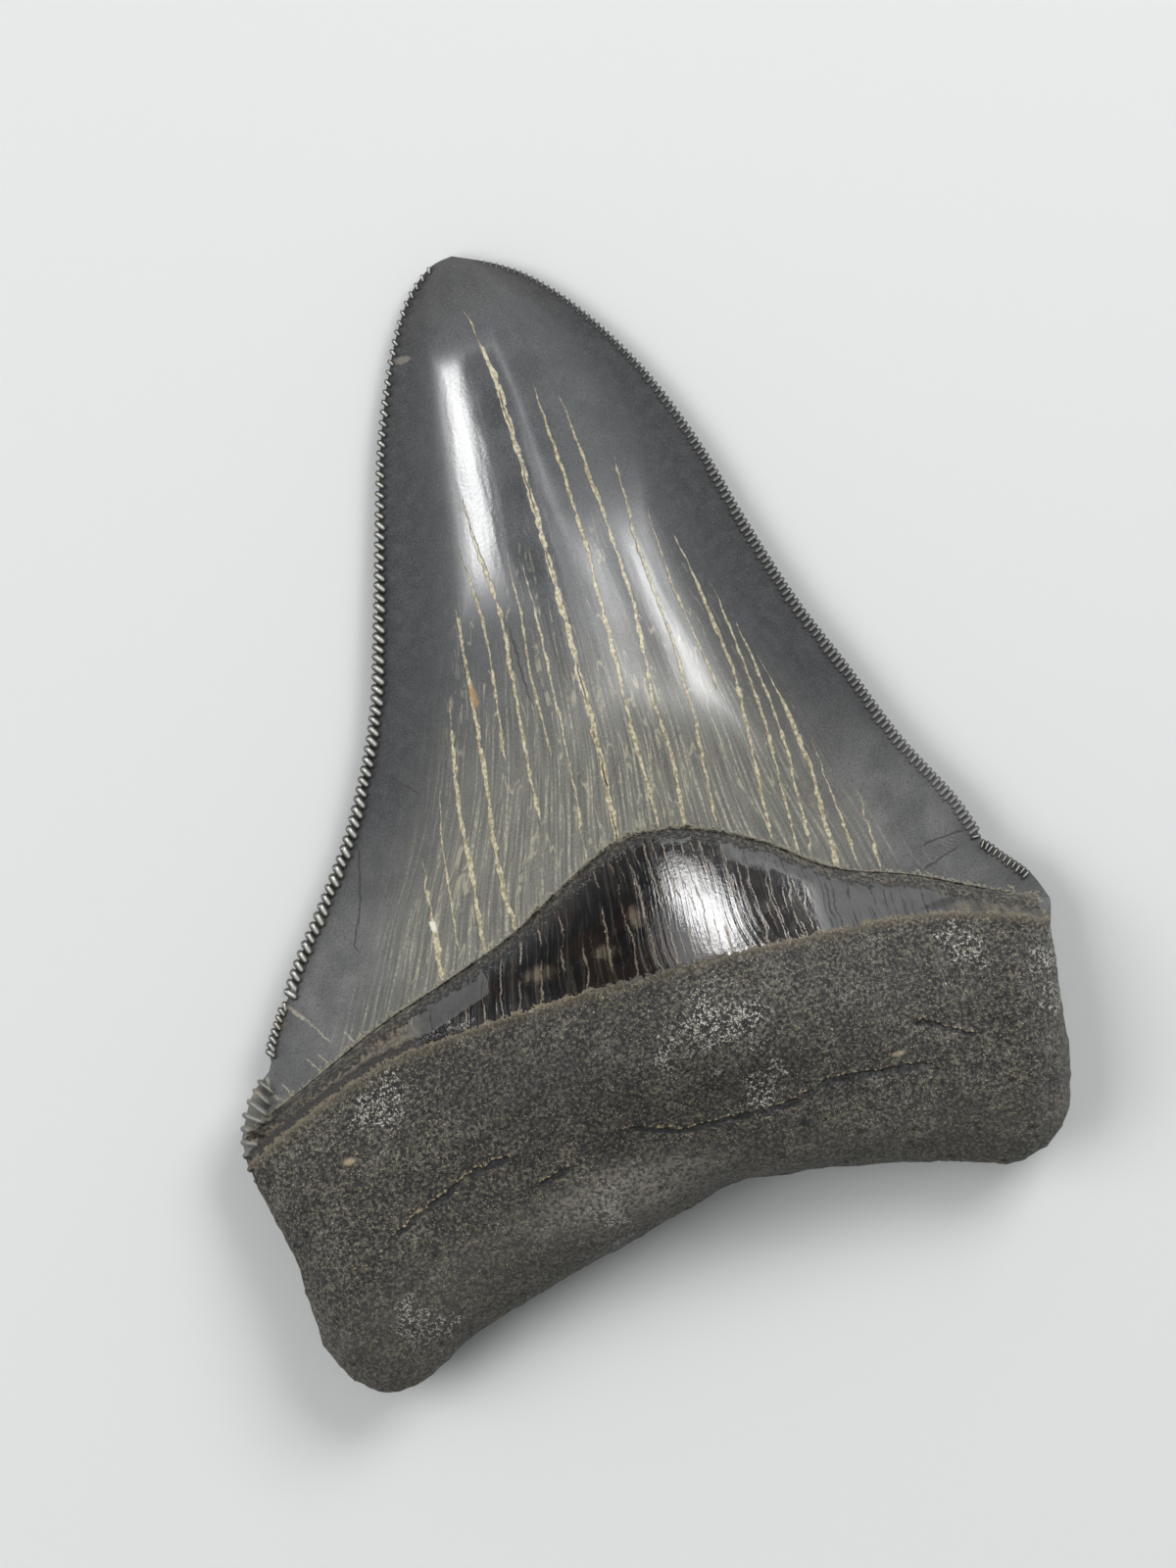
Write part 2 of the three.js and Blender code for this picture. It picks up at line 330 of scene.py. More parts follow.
inner = under_grid[:-1, 1:-1]
under_ids = np.zeros(under_grid.shape[:2], int)
inner_ids = root_ids[-1, -1] + 1 + np.arange(inner.shape[0] * inner.shape[1])
under_ids[:-1, 1:-1] = inner_ids.reshape(inner.shape[:2])
vertices.append(inner.reshape(-1, 3))
under_ids[:, 0] = left_ids[under_rows]
under_ids[:, -1] = right_ids[under_rows]
under_ids[-1] = root_ids[-1, ::UNDER_STEP]

faces = []


def add_quads(ids):
    corners = [ids[:-1, :-1], ids[1:, :-1], ids[1:, 1:], ids[:-1, 1:]]
    faces.extend(np.stack([c.ravel() for c in corners], axis=1).tolist())


add_quads(crown_ids)
add_quads(root_ids)
for c in range(CROWN_COLUMNS):
    faces.append([crown_ids[-1, c], root_ids[0, 2 * c], root_ids[0, 2 * c + 1], root_ids[0, 2 * c + 2],
                  crown_ids[-1, c + 1]])
    faces.append([0, crown_ids[0, c], crown_ids[0, c + 1]])

# %% Faces of the labial side, which take every corner of the shared outline
last_row = under_ids.shape[0] - 1
last_column = under_ids.shape[1] - 1
for r in range(last_row):
    left_chain = left_ids[under_rows[r]:under_rows[r + 1] + 1].tolist()
    right_chain = right_ids[under_rows[r]:under_rows[r + 1] + 1].tolist()
    for c in range(last_column):
        upper = [under_ids[r, c + 1], under_ids[r, c]]
        lower = [under_ids[r + 1, c], under_ids[r + 1, c + 1]]
        if r + 1 == last_row:
            lower = root_ids[-1, c * UNDER_STEP:(c + 1) * UNDER_STEP + 1].tolist()
        loop = upper + (left_chain[1:-1] if c == 0 else []) + lower
        loop += right_chain[1:-1][::-1] if c + 1 == last_column else []
        faces.append([int(v) for v in loop[::-1]])
for c in range(last_column):
    faces.append([0, under_ids[0, c + 1], under_ids[0, c]])

design = np.vstack(vertices)
shift = (design.min(axis=0) + design.max(axis=0)) / 2
print("faces:", len(faces), "design box, mm:", design.min(axis=0).round(2), design.max(axis=0).round(2))

# %% [markdown]
# The paint and the relief both need to know how far a place lies from the lines across the tooth. So
# these distances are worked out once with NumPy, and later stored on the mesh as attributes. Each line
# runs from left to right, so a simple lookup by x gives its height in plan.

# %% Distances from the lines across the tooth
labial_line = smooth_line([(-44, -21.4), (-36, -19.5), (-25, -16.4), (-14, -14.2), (-5.6, -13.6),
                           (3, -14.6), (13, -17.2), (23, -20), (31.5, -21.5)])
LINE_SAMPLES = 400


def below(line, x, y):
    """Millimetres from a line towards the root; negative towards the tip."""
    path = line(np.linspace(0, 1, LINE_SAMPLES))
    return np.interp(x, path[:, 0], path[:, 1]) - y


lingual_count = 1 + crown_grid.shape[0] * crown_grid.shape[1] + root_grid.shape[0] * root_grid.shape[1]
is_lingual = np.arange(len(design)) < lingual_count
below_root = np.where(is_lingual, below(root_line, design[:, 0], design[:, 1]),
                      below(labial_line, design[:, 0], design[:, 1]))
root_cover = smoothstep(below_root, -0.1, 0.6)
print("vertices on the root:", int((root_cover > 0.5).sum()), "of", len(design))

# %% Make the skin a Blender mesh in the frame's own place
tip_to_frame = np.array([shift[0], TIP[1] - high[1] / MM, 0.0])


def to_frame(places):
    """Design millimetres to metres in the frame."""
    return (np.asarray(places, float) - tip_to_frame) * MM


def store(mesh, name, values):
    attribute = mesh.attributes.get(name) or mesh.attributes.new(name, "FLOAT", "POINT")
    attribute.data.foreach_set("value", np.asarray(values, np.float32))


def new_object(name, data):
    thing = bpy.data.objects.new(name, data)
    bpy.context.collection.objects.link(thing)
    return thing


skin_mesh = bpy.data.meshes.new("skin")
skin_mesh.from_pydata(to_frame(design).tolist(), [], faces)
store(skin_mesh, "root_cover", root_cover)
skin = new_object("skin", skin_mesh)
print("skin's box, mm:", (np.array(skin.dimensions) / MM).round(2))

# %% [markdown]
# Node trees are easier to read when a link is written like an ordinary call. This small helper adds
# one node, fills its inputs with numbers or with other nodes' outputs, and hands back an output.

# %% A bench for building node trees
class Bench:
    """Adds nodes to one tree, for materials and Geometry Nodes alike."""

    def __init__(self, tree):
        self.tree = tree

    def add(self, kind, inputs=None, output=0, **settings):
        node = self.tree.nodes.new(kind)
        for name, value in settings.items():
            setattr(node, name, value)
        for key, value in (inputs or {}).items():
            self.fill(node.inputs[key], value)
        return node.outputs[output]

    def fill(self, socket, value):
        if isinstance(value, bpy.types.NodeSocket):
            self.tree.links.new(value, socket)
        else:
            socket.default_value = value

    def math(self, operation, *values, clamp=False):
        return self.add("ShaderNodeMath", dict(enumerate(values)), operation=operation, use_clamp=clamp)

    def vector(self, operation, *values, output=0):
        return self.add("ShaderNodeVectorMath", dict(enumerate(values)), output, operation=operation)

    def scaled(self, vector, factor):
        return self.add("ShaderNodeVectorMath", {0: vector, "Scale": factor}, operation="SCALE")

    def ramp(self, value, start, stop, low_value=0.0, high_value=1.0):
        """Runs smoothly from one value to another while the input goes from start to stop."""
        return self.add("ShaderNodeMapRange", {0: value, 1: start, 2: stop, 3: low_value, 4: high_value},
                        interpolation_type="SMOOTHSTEP")

    def noise(self, place, scale, detail=2.0):
        return self.add("ShaderNodeTexNoise", {"Vector": place, "Scale": scale, "Detail": detail})

    def seeded_noise(self, place, scale, detail, seed):
        return self.add("ShaderNodeTexNoise", {
            "Vector": place, "W": seed, "Scale": scale, "Detail": detail}, noise_dimensions="4D")


print("calls on a bench:", [name for name in vars(Bench) if not name.startswith("_")])

# %% Open and close a Geometry Nodes tree, and take its result
def new_geometry_tree(name, sockets):
    """A Geometry Nodes tree with one mesh in, one mesh out, and the named inputs."""
    tree = bpy.data.node_groups.new(name, "GeometryNodeTree")
    tree.interface.new_socket("Mesh", in_out="INPUT", socket_type="NodeSocketGeometry")
    for label, kind in sockets:
        tree.interface.new_socket(label, in_out="INPUT", socket_type="NodeSocket" + kind)
    tree.interface.new_socket("Mesh", in_out="OUTPUT", socket_type="NodeSocketGeometry")
    bench = Bench(tree)
    entry = tree.nodes.new("NodeGroupInput").outputs
    return tree, bench, {label: entry[label] for label in ["Mesh"] + [label for label, kind in sockets]}


def close_tree(bench, geometry, material):
    """Ends the tree in Realize Instances and Set Material."""
    solid = bench.add("GeometryNodeRealizeInstances", {"Geometry": geometry})
    finished = bench.add("GeometryNodeSetMaterial", {"Geometry": solid, "Material": material})
    exit_node = bench.tree.nodes.new("NodeGroupOutput")
    bench.tree.links.new(finished, exit_node.inputs[0])


def add_tree(thing, tree, values):
    """Puts the tree on an object and sets each input by its socket's identifier."""
    modifier = thing.modifiers.new(tree.name, "NODES")
    modifier.node_group = tree
    identifiers = {s.name: s.identifier for s in tree.interface.items_tree if s.in_out == "INPUT"}
    for label, value in values.items():
        modifier[identifiers[label]] = value


def frozen_mesh(thing):
    """The object's mesh with its modifiers applied, as a plain mesh."""
    bpy.context.view_layer.update()
    evaluated = thing.evaluated_get(bpy.context.evaluated_depsgraph_get())
    mesh = bpy.data.meshes.new_from_object(evaluated)
    thing.modifiers.clear()
    return mesh


# The trees set this material on what they make, so it has to be there before they run
fossil = bpy.data.materials.new("fossil enamel, bourlette and root")
fossil.use_nodes = True
print("material ready to be painted:", fossil.name)

# %% [markdown]
# The root was spongy bone, and as stone it keeps a sandy skin: soft lumps a few millimetres wide, grains
# under a millimetre, and small pits. Sculpting that by hand is slow, and a bump map alone leaves the
# outline smooth. So a Geometry Nodes tree moves every vertex of the root along its normal by noise.

# %% Root grain with Geometry Nodes
def root_grain_tree():
    tree, bench, given = new_geometry_tree("root grain", [
        ("Lump Height", "Float"), ("Lump Size", "Float"), ("Grain Height", "Float"),
        ("Grain Size", "Float"), ("Pit Depth", "Float"), ("Pit Spacing", "Float"), ("Seed", "Float"),
        ("Finish", "Material")])
    place = bench.add("GeometryNodeInputPosition")
    cover = bench.add("GeometryNodeInputNamedAttribute", {"Name": "root_cover"}, data_type="FLOAT")

    def layer(size, height, detail):
        scale = bench.math("DIVIDE", 1.0, size)
        waves = bench.seeded_noise(place, scale, detail, given["Seed"])
        return bench.math("MULTIPLY", bench.math("SUBTRACT", waves, 0.5), height)

    lumps = layer(given["Lump Size"], given["Lump Height"], 2.0)
    grains = layer(given["Grain Size"], given["Grain Height"], 1.0)
    spacing = bench.math("DIVIDE", 1.0, given["Pit Spacing"])
    nearness = bench.add("ShaderNodeTexVoronoi", {"Vector": place, "W": given["Seed"], "Scale": spacing},
                         "Distance", voronoi_dimensions="4D")
    pits = bench.math("MULTIPLY", bench.ramp(nearness, 0.12, 0.3, 1.0, 0.0), given["Pit Depth"])
    rise = bench.math("SUBTRACT", bench.math("ADD", lumps, grains), pits)
    normal = bench.add("GeometryNodeInputNormal")
    offset = bench.scaled(normal, bench.math("MULTIPLY", rise, cover))
    moved = bench.add("GeometryNodeSetPosition", {"Geometry": given["Mesh"], "Offset": offset})
    close_tree(bench, moved, given["Finish"])
    return tree


add_tree(skin, root_grain_tree(), {
    "Lump Height": 1.1 * MM, "Lump Size": 6.0 * MM, "Grain Height": 0.42 * MM, "Grain Size": 0.95 * MM,
    "Pit Depth": 0.3 * MM, "Pit Spacing": 1.7 * MM, "Seed": 3.7, "Finish": fossil})
skin.data = frozen_mesh(skin)
print("root grain moved", len(skin.data.vertices), "vertices")

# %% [markdown]
# Each cutting edge carries a row of saw teeth. On the left they are fat tongues that lean towards the
# root and lie side by side like the turns of a spring. On the right they are finer and stand square to
# the edge. Near the tip they are worn low. The tree walks along a curve, sets a small rounded block at
# every step, and fuses them all into the blade with a boolean, so the tooth stays one body.

# %% A tree that fuses a row of saw teeth into the blade
def saw_teeth_tree():
    tree, bench, given = new_geometry_tree("row of saw teeth", [
        ("Edge", "Object"), ("Pitch", "Float"), ("Length", "Float"), ("Width", "Float"),
        ("Thickness", "Float"), ("Lean", "Float"), ("Reach", "Float"), ("Unevenness", "Float"),
        ("Polish And Glint", "Float"), ("Seed", "Int"), ("Finish", "Material")])
    curve = bench.add("GeometryNodeObjectInfo", {"Object": given["Edge"]}, "Geometry")
    stations = bench.add("GeometryNodeCurveToPoints", {"Curve": curve, "Length": given["Pitch"]}, "Points",
                         mode="LENGTH")
    tangent = stations.node.outputs["Tangent"]
    along_edge = bench.add("FunctionNodeAlignRotationToVector", {"Vector": tangent}, axis="X",
                           pivot_axis="Z")
    jitter = bench.add("FunctionNodeRandomValue", {"Min": -1.0, "Max": 1.0, "Seed": given["Seed"]}, 1,
                       data_type="FLOAT")
    uneven = bench.math("MULTIPLY", jitter, given["Unevenness"])
    lean = bench.math("MULTIPLY", given["Lean"], bench.math("ADD", uneven, 1.0))
    turn = bench.add("FunctionNodeAxisAngleToRotation", {"Axis": (0, 0, 1), "Angle": lean})
    rotation = bench.add("FunctionNodeRotateRotation", {"Rotation": along_edge, "Rotate By": turn},
                         rotation_space="LOCAL")
    wear = bench.add("GeometryNodeInputRadius")
    size = bench.math("MULTIPLY", wear, bench.math("ADD", uneven, 1.0))
    half_reach = bench.math("MULTIPLY", bench.math("MULTIPLY", given["Length"], 0.5),
                            bench.math("COSINE", given["Lean"]))
    inset = bench.math("SUBTRACT", bench.math("MULTIPLY", half_reach, size),
                       bench.math("MULTIPLY", given["Reach"], wear))
    offset = bench.add("FunctionNodeRotateVector", {
        "Vector": bench.add("ShaderNodeCombineXYZ", {"Y": inset}), "Rotation": along_edge})
    stations = bench.add("GeometryNodeSetPosition", {"Geometry": stations, "Offset": offset})
    block = bench.add("GeometryNodeMeshCube", {
        "Size": (1.2, 1.1, 1.2), "Vertices X": 2, "Vertices Y": 3, "Vertices Z": 2})
    rounded = bench.add("GeometryNodeSubdivisionSurface", {"Mesh": block, "Level": 1})
    stretch = bench.add("ShaderNodeCombineXYZ",
                        {"X": given["Width"], "Y": given["Length"], "Z": given["Thickness"]})
    tongue = bench.add("GeometryNodeTransform", {"Geometry": rounded, "Scale": stretch})
    # The polish gives the saw teeth a smooth finish and also sets how strongly they get painted highlight
    # and shade
    tongue = bench.add("GeometryNodeStoreNamedAttribute", {
        "Geometry": tongue, "Name": "saw_polish", "Value": given["Polish And Glint"]}, data_type="FLOAT")
    row = bench.add("GeometryNodeInstanceOnPoints", {
        "Points": stations, "Instance": tongue, "Rotation": rotation, "Scale": size})
    fuse = bench.tree.nodes.new("GeometryNodeMeshBoolean")
    fuse.operation = "UNION"
    fuse.solver = "MANIFOLD"
    bench.tree.links.new(given["Mesh"], fuse.inputs["Mesh 2"])
    bench.tree.links.new(row, fuse.inputs["Mesh 2"])
    close_tree(bench, fuse.outputs["Mesh"], given["Finish"])
    return tree


saw_tree = saw_teeth_tree()
print("nodes in the tree of saw teeth:", len(saw_tree.nodes))

# %% Edge curves that the rows follow
SHOULDER_EDGE = smooth_line([(-41.0, -12.1), (-42.8, -14.1), (-43.8, -16.6), (-44.0, -18.8),
                             (-43.6, -20.8)])
WORN_SIZE = 0.45  # size of a saw tooth at the tip, as a share of its full size


def edge_curve(name, path, shares, bands, chips, lift, wear_length):
    """A curve along an edge of the tooth, thinner where the edge is worn."""
    plan = path(shares)
    tangent = np.gradient(plan, axis=0)
    tangent /= np.linalg.norm(tangent, axis=1)[:, None]
    to_inside = np.column_stack([-tangent[:, 1], tangent[:, 0]])
    plan = plan + to_inside * chip_depth(chips, shares * path.length)[:, None]
    wear = WORN_SIZE + (1 - WORN_SIZE) * smoothstep(bands * path.length, 0, wear_length)
    places = to_frame(np.column_stack([plan, profile(RIM, bands) + lift]))
    data = bpy.data.curves.new(name, "CURVE")
    data.dimensions = "3D"
    spline = data.splines.new("POLY")
    spline.points.add(len(places) - 1)
    spline.points.foreach_set("co", np.column_stack([places, np.ones(len(places))]).ravel())
    spline.points.foreach_set("radius", wear)
    return new_object(name, data)


print("length of the shoulder's edge, mm:", round(SHOULDER_EDGE.length, 1))

# %% Set the rows of saw teeth
# Each row: path, its shares, its bands, chips, lift, then pitch, length, width, thickness, lean, reach
# and polish, which also sets how strongly its teeth are painted with highlight and shade. A row runs so
# that the blade lies on its left.
WEAR_LENGTH = 45.0  # mm from the tip over which the saw teeth grow to full size
LEFT, RIGHT = left_side[0], right_side[0]
saw_rows = {
    "left edge": (LEFT, (0.03, 0.838), (0.03, 0.838), LEFT_CHIPS, 0.25,
                  0.92, 1.5, 0.72, 0.9, -34, 0.2, 1.0),
    "left corner": (LEFT, (0.85, 0.905), (0.85, 0.905), LEFT_CHIPS, 0.22,
                    0.66, 1.1, 0.52, 0.8, -34, 0.18, 0.9),
    "left shoulder": (SHOULDER_EDGE, (0.0, 1.0), (0.93, 2.2), [], 0.5,
                      1.25, 4.4, 1.15, 2.2, -14, 0.3, 0.5),
    "right edge": (RIGHT, (0.888, 0.03), (0.888, 0.03), RIGHT_CHIPS, 0.12,
                   0.57, 1.2, 0.44, 0.6, 4, 0.08, 0.35),
    "right corner": (RIGHT, (0.962, 0.896), (0.962, 0.896), RIGHT_CHIPS, 0.3,
                     0.49, 1.0, 0.36, 0.8, 2, 0.02, 1.6),
}
STATIONS = 240
edge_objects = []
for seed, (name, row) in enumerate(saw_rows.items()):
    edge_path, shares, bands, chips, lift, pitch, length, width, thickness, lean, reach, polish_and_glint = row
    edge = edge_curve(name, edge_path, np.linspace(*shares, STATIONS), np.linspace(*bands, STATIONS), chips,
                      lift, WEAR_LENGTH)
    edge_objects.append(edge)
    add_tree(skin, saw_tree, {
        "Edge": edge, "Pitch": pitch * MM, "Length": length * MM, "Width": width * MM,
        "Thickness": thickness * MM, "Lean": math.radians(lean), "Reach": reach * MM,
        "Unevenness": 0.1, "Polish And Glint": polish_and_glint, "Seed": seed, "Finish": fossil})

tooth_mesh = frozen_mesh(skin)
tooth_mesh.name = "fossil_tooth"
for leftover in [skin] + edge_objects:
    bpy.data.objects.remove(leftover)
tooth = new_object("fossil_tooth", tooth_mesh)
tooth_mesh.calc_loop_triangles()
print("the tooth with its saw teeth:", len(tooth_mesh.loop_triangles), "triangles")

# %% [markdown]
# The paint follows the tooth's own lines, so every vertex gets the distances that the paint needs. A
# distance stored this way is smooth between vertices, and the material can turn it into an edge that is
# as sharp and as ragged as it likes, whatever the size of the faces.

# %% Store distances on the finished mesh
UNDERSIDE_LIMIT = -0.25  # a face that looks down more than this counts as labial
EDGE_SAMPLES = 600
LABIAL_OVERLAP = 0.3  # mm of enamel that the root covers on the labial face, which has no bourlette
FAR_AWAY = 99  # mm
count = len(tooth_mesh.vertices)
places = np.empty(count * 3)
normals = np.empty(count * 3)
tooth_mesh.vertices.foreach_get("co", places)
places = places.reshape(-1, 3)
places[:, 2] = np.maximum(places[:, 2], 0)
tooth_mesh.vertices.foreach_set("co", places.ravel())
tooth_mesh.update()
tooth_mesh.vertices.foreach_get("normal", normals)
x, y = (places / MM + tip_to_frame).T[:2]
upright = normals.reshape(-1, 3)[:, 2]  # 1 where a face looks straight up, -1 straight down
faces_up = upright > UNDERSIDE_LIMIT

# Enamel wraps round both shoulders past the ends of its lingual line, as two narrow slivers
left_sliver = x - np.interp(-y, [16.4, 16.7, 18.4, 21.1, 21.4], [-60, -42.4, -42.2, -43.6, -60])
right_sliver = np.interp(-y, [16.0, 16.5, 18.2, 18.8], [60, 30.8, 30.8, 60]) - x
sliver = np.minimum(left_sliver, right_sliver)
in_sliver = np.where(sliver < 0, sliver, FAR_AWAY)
below_enamel = np.where(faces_up, np.minimum(below(enamel_line, x, y), in_sliver),
                        below(labial_line, x, y))
below_root = np.where(faces_up, below(root_line, x, y), below_enamel + LABIAL_OVERLAP)
store(tooth_mesh, "below_enamel", below_enamel)
store(tooth_mesh, "below_root", below_root)
store(tooth_mesh, "lingual", faces_up)
store(tooth_mesh, "upright", upright)
print("vertices on the lingual face:", int(faces_up.sum()), "of", count)

# %% How far every vertex lies from the two cutting edges
edge_shares = np.linspace(0, 1, EDGE_SAMPLES)
left_path = left_side[0](edge_shares)
right_path = right_side[0](edge_shares)
left_x = np.interp(-y, -left_path[:, 1], left_path[:, 0])
right_x = np.interp(-y, -right_path[:, 1], right_path[:, 0])
half_way = np.maximum(right_x - left_x, 0.5) / 2
store(tooth_mesh, "inward", np.clip(np.minimum(x - left_x, right_x - x) / half_way, 0, 1))
store(tooth_mesh, "fan", (x - (left_x + right_x) / 2) / half_way)
print("widest stretch between the cutting edges, mm:", round(2 * half_way.max(), 1))

# %% Dark cracks and scratches, each a few points from one end to the other
DARK_LINES = [
    [(-32.5, -28.6), (-30.8, -27.6), (-27.5, -26.5), (-25.6, -25.5), (-21.5, -24.9)],
    [(-19.0, -28.0), (-16.5, -27.4)],
    [(-10.4, -25.5), (-5.3, -27.1), (-0.1, -27.3), (3.6, -27.6), (8.2, -26.6), (14.6, -27.5),
     (17.1, -28.0)],
    [(17.6, -24.1), (21.4, -26.4)],
    [(-29.1, -2.8), (-27.7, 0.0), (-26.2, 5.1)],
    [(-21.4, 10.5), (-19.7, 8.8)],
    [(-7.5, 13.8), (-7.4, 20.1)],
    [(22.1, -11.1), (25.1, -10.2)],
    [(22.7, -9.0), (26.0, -8.9)],
    [(-6.4, -9.0), (-5.6, -2.4)],
]
OFF_LINE = 9.0  # mm, for places with no line near them


def nearest_line(lines):
    """Distance of every vertex to the nearest line; the sign tells on which side of it."""
    nearest = np.full(count, OFF_LINE)
    for points in lines:
        path = np.array(points, float)
        along, aside = (x, y) if np.ptp(path[:, 0]) > np.ptp(path[:, 1]) else (y, x)
        if along is y:
            path = path[:, ::-1]
        path = path[np.argsort(path[:, 0])]
        sideways = aside - np.interp(along, path[:, 0], path[:, 1])
        past_end = np.maximum(np.maximum(path[0, 0] - along, along - path[-1, 0]), 0)
        away = np.hypot(sideways, past_end) * np.where(sideways < 0, -1, 1)
        nearest = np.where(np.abs(away) < np.abs(nearest), away, nearest)
    return np.where(faces_up, nearest, OFF_LINE)


store(tooth_mesh, "dark_line", nearest_line(DARK_LINES))
print("dark lines drawn:", len(DARK_LINES))

# %% [markdown]
# The crown's long cream cracks are the thing one sees first. Each is a short list of points down the
# crown with a width. A vertex stores where it lies between its two neighbouring cracks as one running
# number that is whole exactly on a crack, so the material can draw every crack as a crisp line.

# %% Cracks down the crown, from left to right: width in mm, then x and y down the crack
CRACKS = [
    (0.20, [(-20.6, 4.3), (-21.4, -0.5), (-21.7, -3.2), (-22.2, -7.7)]),
    (0.14, [(-16.9, 10.5), (-18.7, 4.6), (-19.4, -0.7), (-20.1, -5.1)]),
    (0.36, [(-14.2, 17), (-15.5, 11.3), (-16.4, 6.9), (-17.1, -0.2), (-17.9, -6.2)]),
    (0.42, [(-11.4, 24.5), (-12, 19.6), (-12.3, 16.2), (-12.8, 12.1), (-13.6, 6), (-14.3, 2.7),
            (-14.8, -1.8), (-14.7, -5.4)]),
    (0.24, [(-9.8, 30.4), (-9.6, 26.6), (-9.4, 23.3), (-9.7, 19.4), (-10.4, 13.8), (-11.2, 10)]),
    (0.30, [(-8.2, 33.9), (-8.2, 29), (-7.8, 22.5), (-7.9, 20), (-8.6, 14.6), (-9.3, 8.9), (-9.8, 3.6)]),
    (0.20, [(-5.6, 28.2), (-6, 21.3), (-6.7, 16.8), (-7.1, 9.2)]),
    (0.20, [(-4.5, 27), (-4.9, 18.6), (-5.6, 9.9), (-6, 6.1), (-7, -1.3)]),
    (0.46, [(-3.7, 50.3), (-2.8, 48.1), (-2.2, 43), (-2.1, 34.7), (-2.2, 28.3), (-2.3, 24.6),
            (-2.5, 17.9), (-2.8, 9.8), (-3.3, 4), (-3.7, -0.3)]),
    (0.32, [(1, 41.7), (1.3, 33.9), (1.4, 26.1), (1, 17.6), (0.5, 9.2), (0.3, -0.4)]),
    (0.32, [(2.9, 40.2), (3.4, 32.4), (3.9, 22.5), (3.9, 19.2), (3, 10.6), (3.2, 4.9), (2.4, -0.7)]),
    (0.26, [(6.3, 33.6), (5.7, 24.8), (6.3, 14.7), (6.1, 8.2), (5.2, -1)]),
    (0.18, [(7.6, 28.8), (7.6, 20.7), (8.3, 15.3), (8.8, 10.7)]),
    (0.28, [(9.1, 25.6), (10.1, 17.9), (10.8, 10.8), (10.4, 5.4), (9.3, -3.9)]),
    (0.26, [(11.1, 20.8), (11.8, 11.8), (12.1, 5.8), (11.6, -5.6)]),
    (0.26, [(12.2, 16.1), (13.1, 7.6), (13.2, 2.7), (12.5, -6.3)]),
    (0.44, [(13.3, 12.8), (14.5, 4.6), (15, 0.3), (14.6, -4.2), (14.5, -8.1)]),
    (0.20, [(15.6, 4.4), (15.7, -0.9), (16.1, -5.1), (16.2, -7.9)]),
    (0.12, [(18.3, -0.3), (18.3, -3.9), (18.1, -9.4)]),
]
MAIN_CRACK = 8  # its place in the list
CRACK_TAPER = 9.0  # mm over which a crack grows from its upper end
MEETING_HEIGHT = TIP[1] + 6  # the cracks, if they ran on upwards, would meet here
print("cracks:", len(CRACKS))

# %% Give every vertex its place between two cracks
def crack_x(points):
    """x of the crack at every vertex; past its ends the crack runs on towards the tip and the root."""
    path = np.array(points, float)[::-1]
    inside = np.interp(y, path[:, 1], path[:, 0])
    top_x, top_y = points[0]
    narrowing = np.clip((MEETING_HEIGHT - y) / (MEETING_HEIGHT - top_y), 0.02, 1)
    return np.where(y > top_y, TIP[0] + (top_x - TIP[0]) * narrowing, inside)


crack_places = np.array([crack_x(points) for width, points in CRACKS])
crack_widths = np.array([
    width * smoothstep(points[0][1] - y, 0, CRACK_TAPER) ** 0.7 * smoothstep(y - points[-1][1], -1.2, -0.2)
    for width, points in CRACKS])
crack_places = np.maximum.accumulate(crack_places + np.arange(len(CRACKS))[:, None] * 1e-3, axis=0)
last = len(CRACKS) - 1
behind = np.clip((crack_places <= x).sum(axis=0) - 1, 0, last - 1)
everyone = np.arange(count)
gap = np.maximum(crack_places[behind + 1, everyone] - crack_places[behind, everyone], 0.05)
phase = np.clip(behind + (x - crack_places[behind, everyone]) / gap, -0.5, last + 0.5)
nearest = np.clip(np.round(phase), 0, last).astype(int)
gap_here = (crack_places[np.minimum(nearest + 1, last), everyone]
            - crack_places[np.maximum(nearest - 1, 0), everyone]) / 2
store(tooth_mesh, "crack_phase", phase)
store(tooth_mesh, "crack_gap", np.maximum(gap_here, 0.05))
store(tooth_mesh, "crack_width", crack_widths[nearest, everyone] * faces_up)
print("widest crack, mm:", crack_widths.max().round(2))

# %% [markdown]
# One material covers the tooth, because on the real one the finishes grow into each other. It first
# mixes a colour, a roughness and a height for each of the three finishes, then joins them along the
# stored lines. Patterns read Object coordinates turned into design millimetres, so sizes are real.

# %% Colours, and the start of the material
def colour(red, green, blue):
    """A colour as seen on a screen, 0 to 255, turned into the linear values that Blender works in."""
    parts = [c / 255 for c in (red, green, blue)]
    return tuple(((c + 0.055) / 1.055) ** 2.4 if c > 0.04045 else c / 12.92 for c in parts) + (1.0,)


fossil.node_tree.nodes.clear()
paint = Bench(fossil.node_tree)
ramp = paint.ramp
object_place = paint.add("ShaderNodeTexCoord", output="Object")
place = paint.vector("ADD", paint.scaled(object_place, 1 / MM), tuple(tip_to_frame))
split = paint.add("ShaderNodeSeparateXYZ", {0: place}).node.outputs
across_mm, along_mm = split["X"], split["Y"]
print("design millimetres start at", tip_to_frame.round(2))

# %% Sums, products and mixes, written as plain calls
def chained(operation):
    """A function that joins two or more values with one operation, from left to right."""
    def joined(*values):
        result = values[0]
        for value in values[1:]:
            result = paint.math(operation, result, value)
        return result
    return joined


total, minus, product, largest = [chained(name) for name in ("ADD", "SUBTRACT", "MULTIPLY", "MAXIMUM")]


def sway(pattern, reach):
    """A noise pattern made to swing to both sides of zero."""
    return product(minus(pattern, 0.5), reach)


def near_zero(value, inner, outer):
    """1 where the value is close to zero, 0 where it is farther away than the outer limit."""
    return ramp(paint.math("ABSOLUTE", value), inner, outer, 1.0, 0.0)


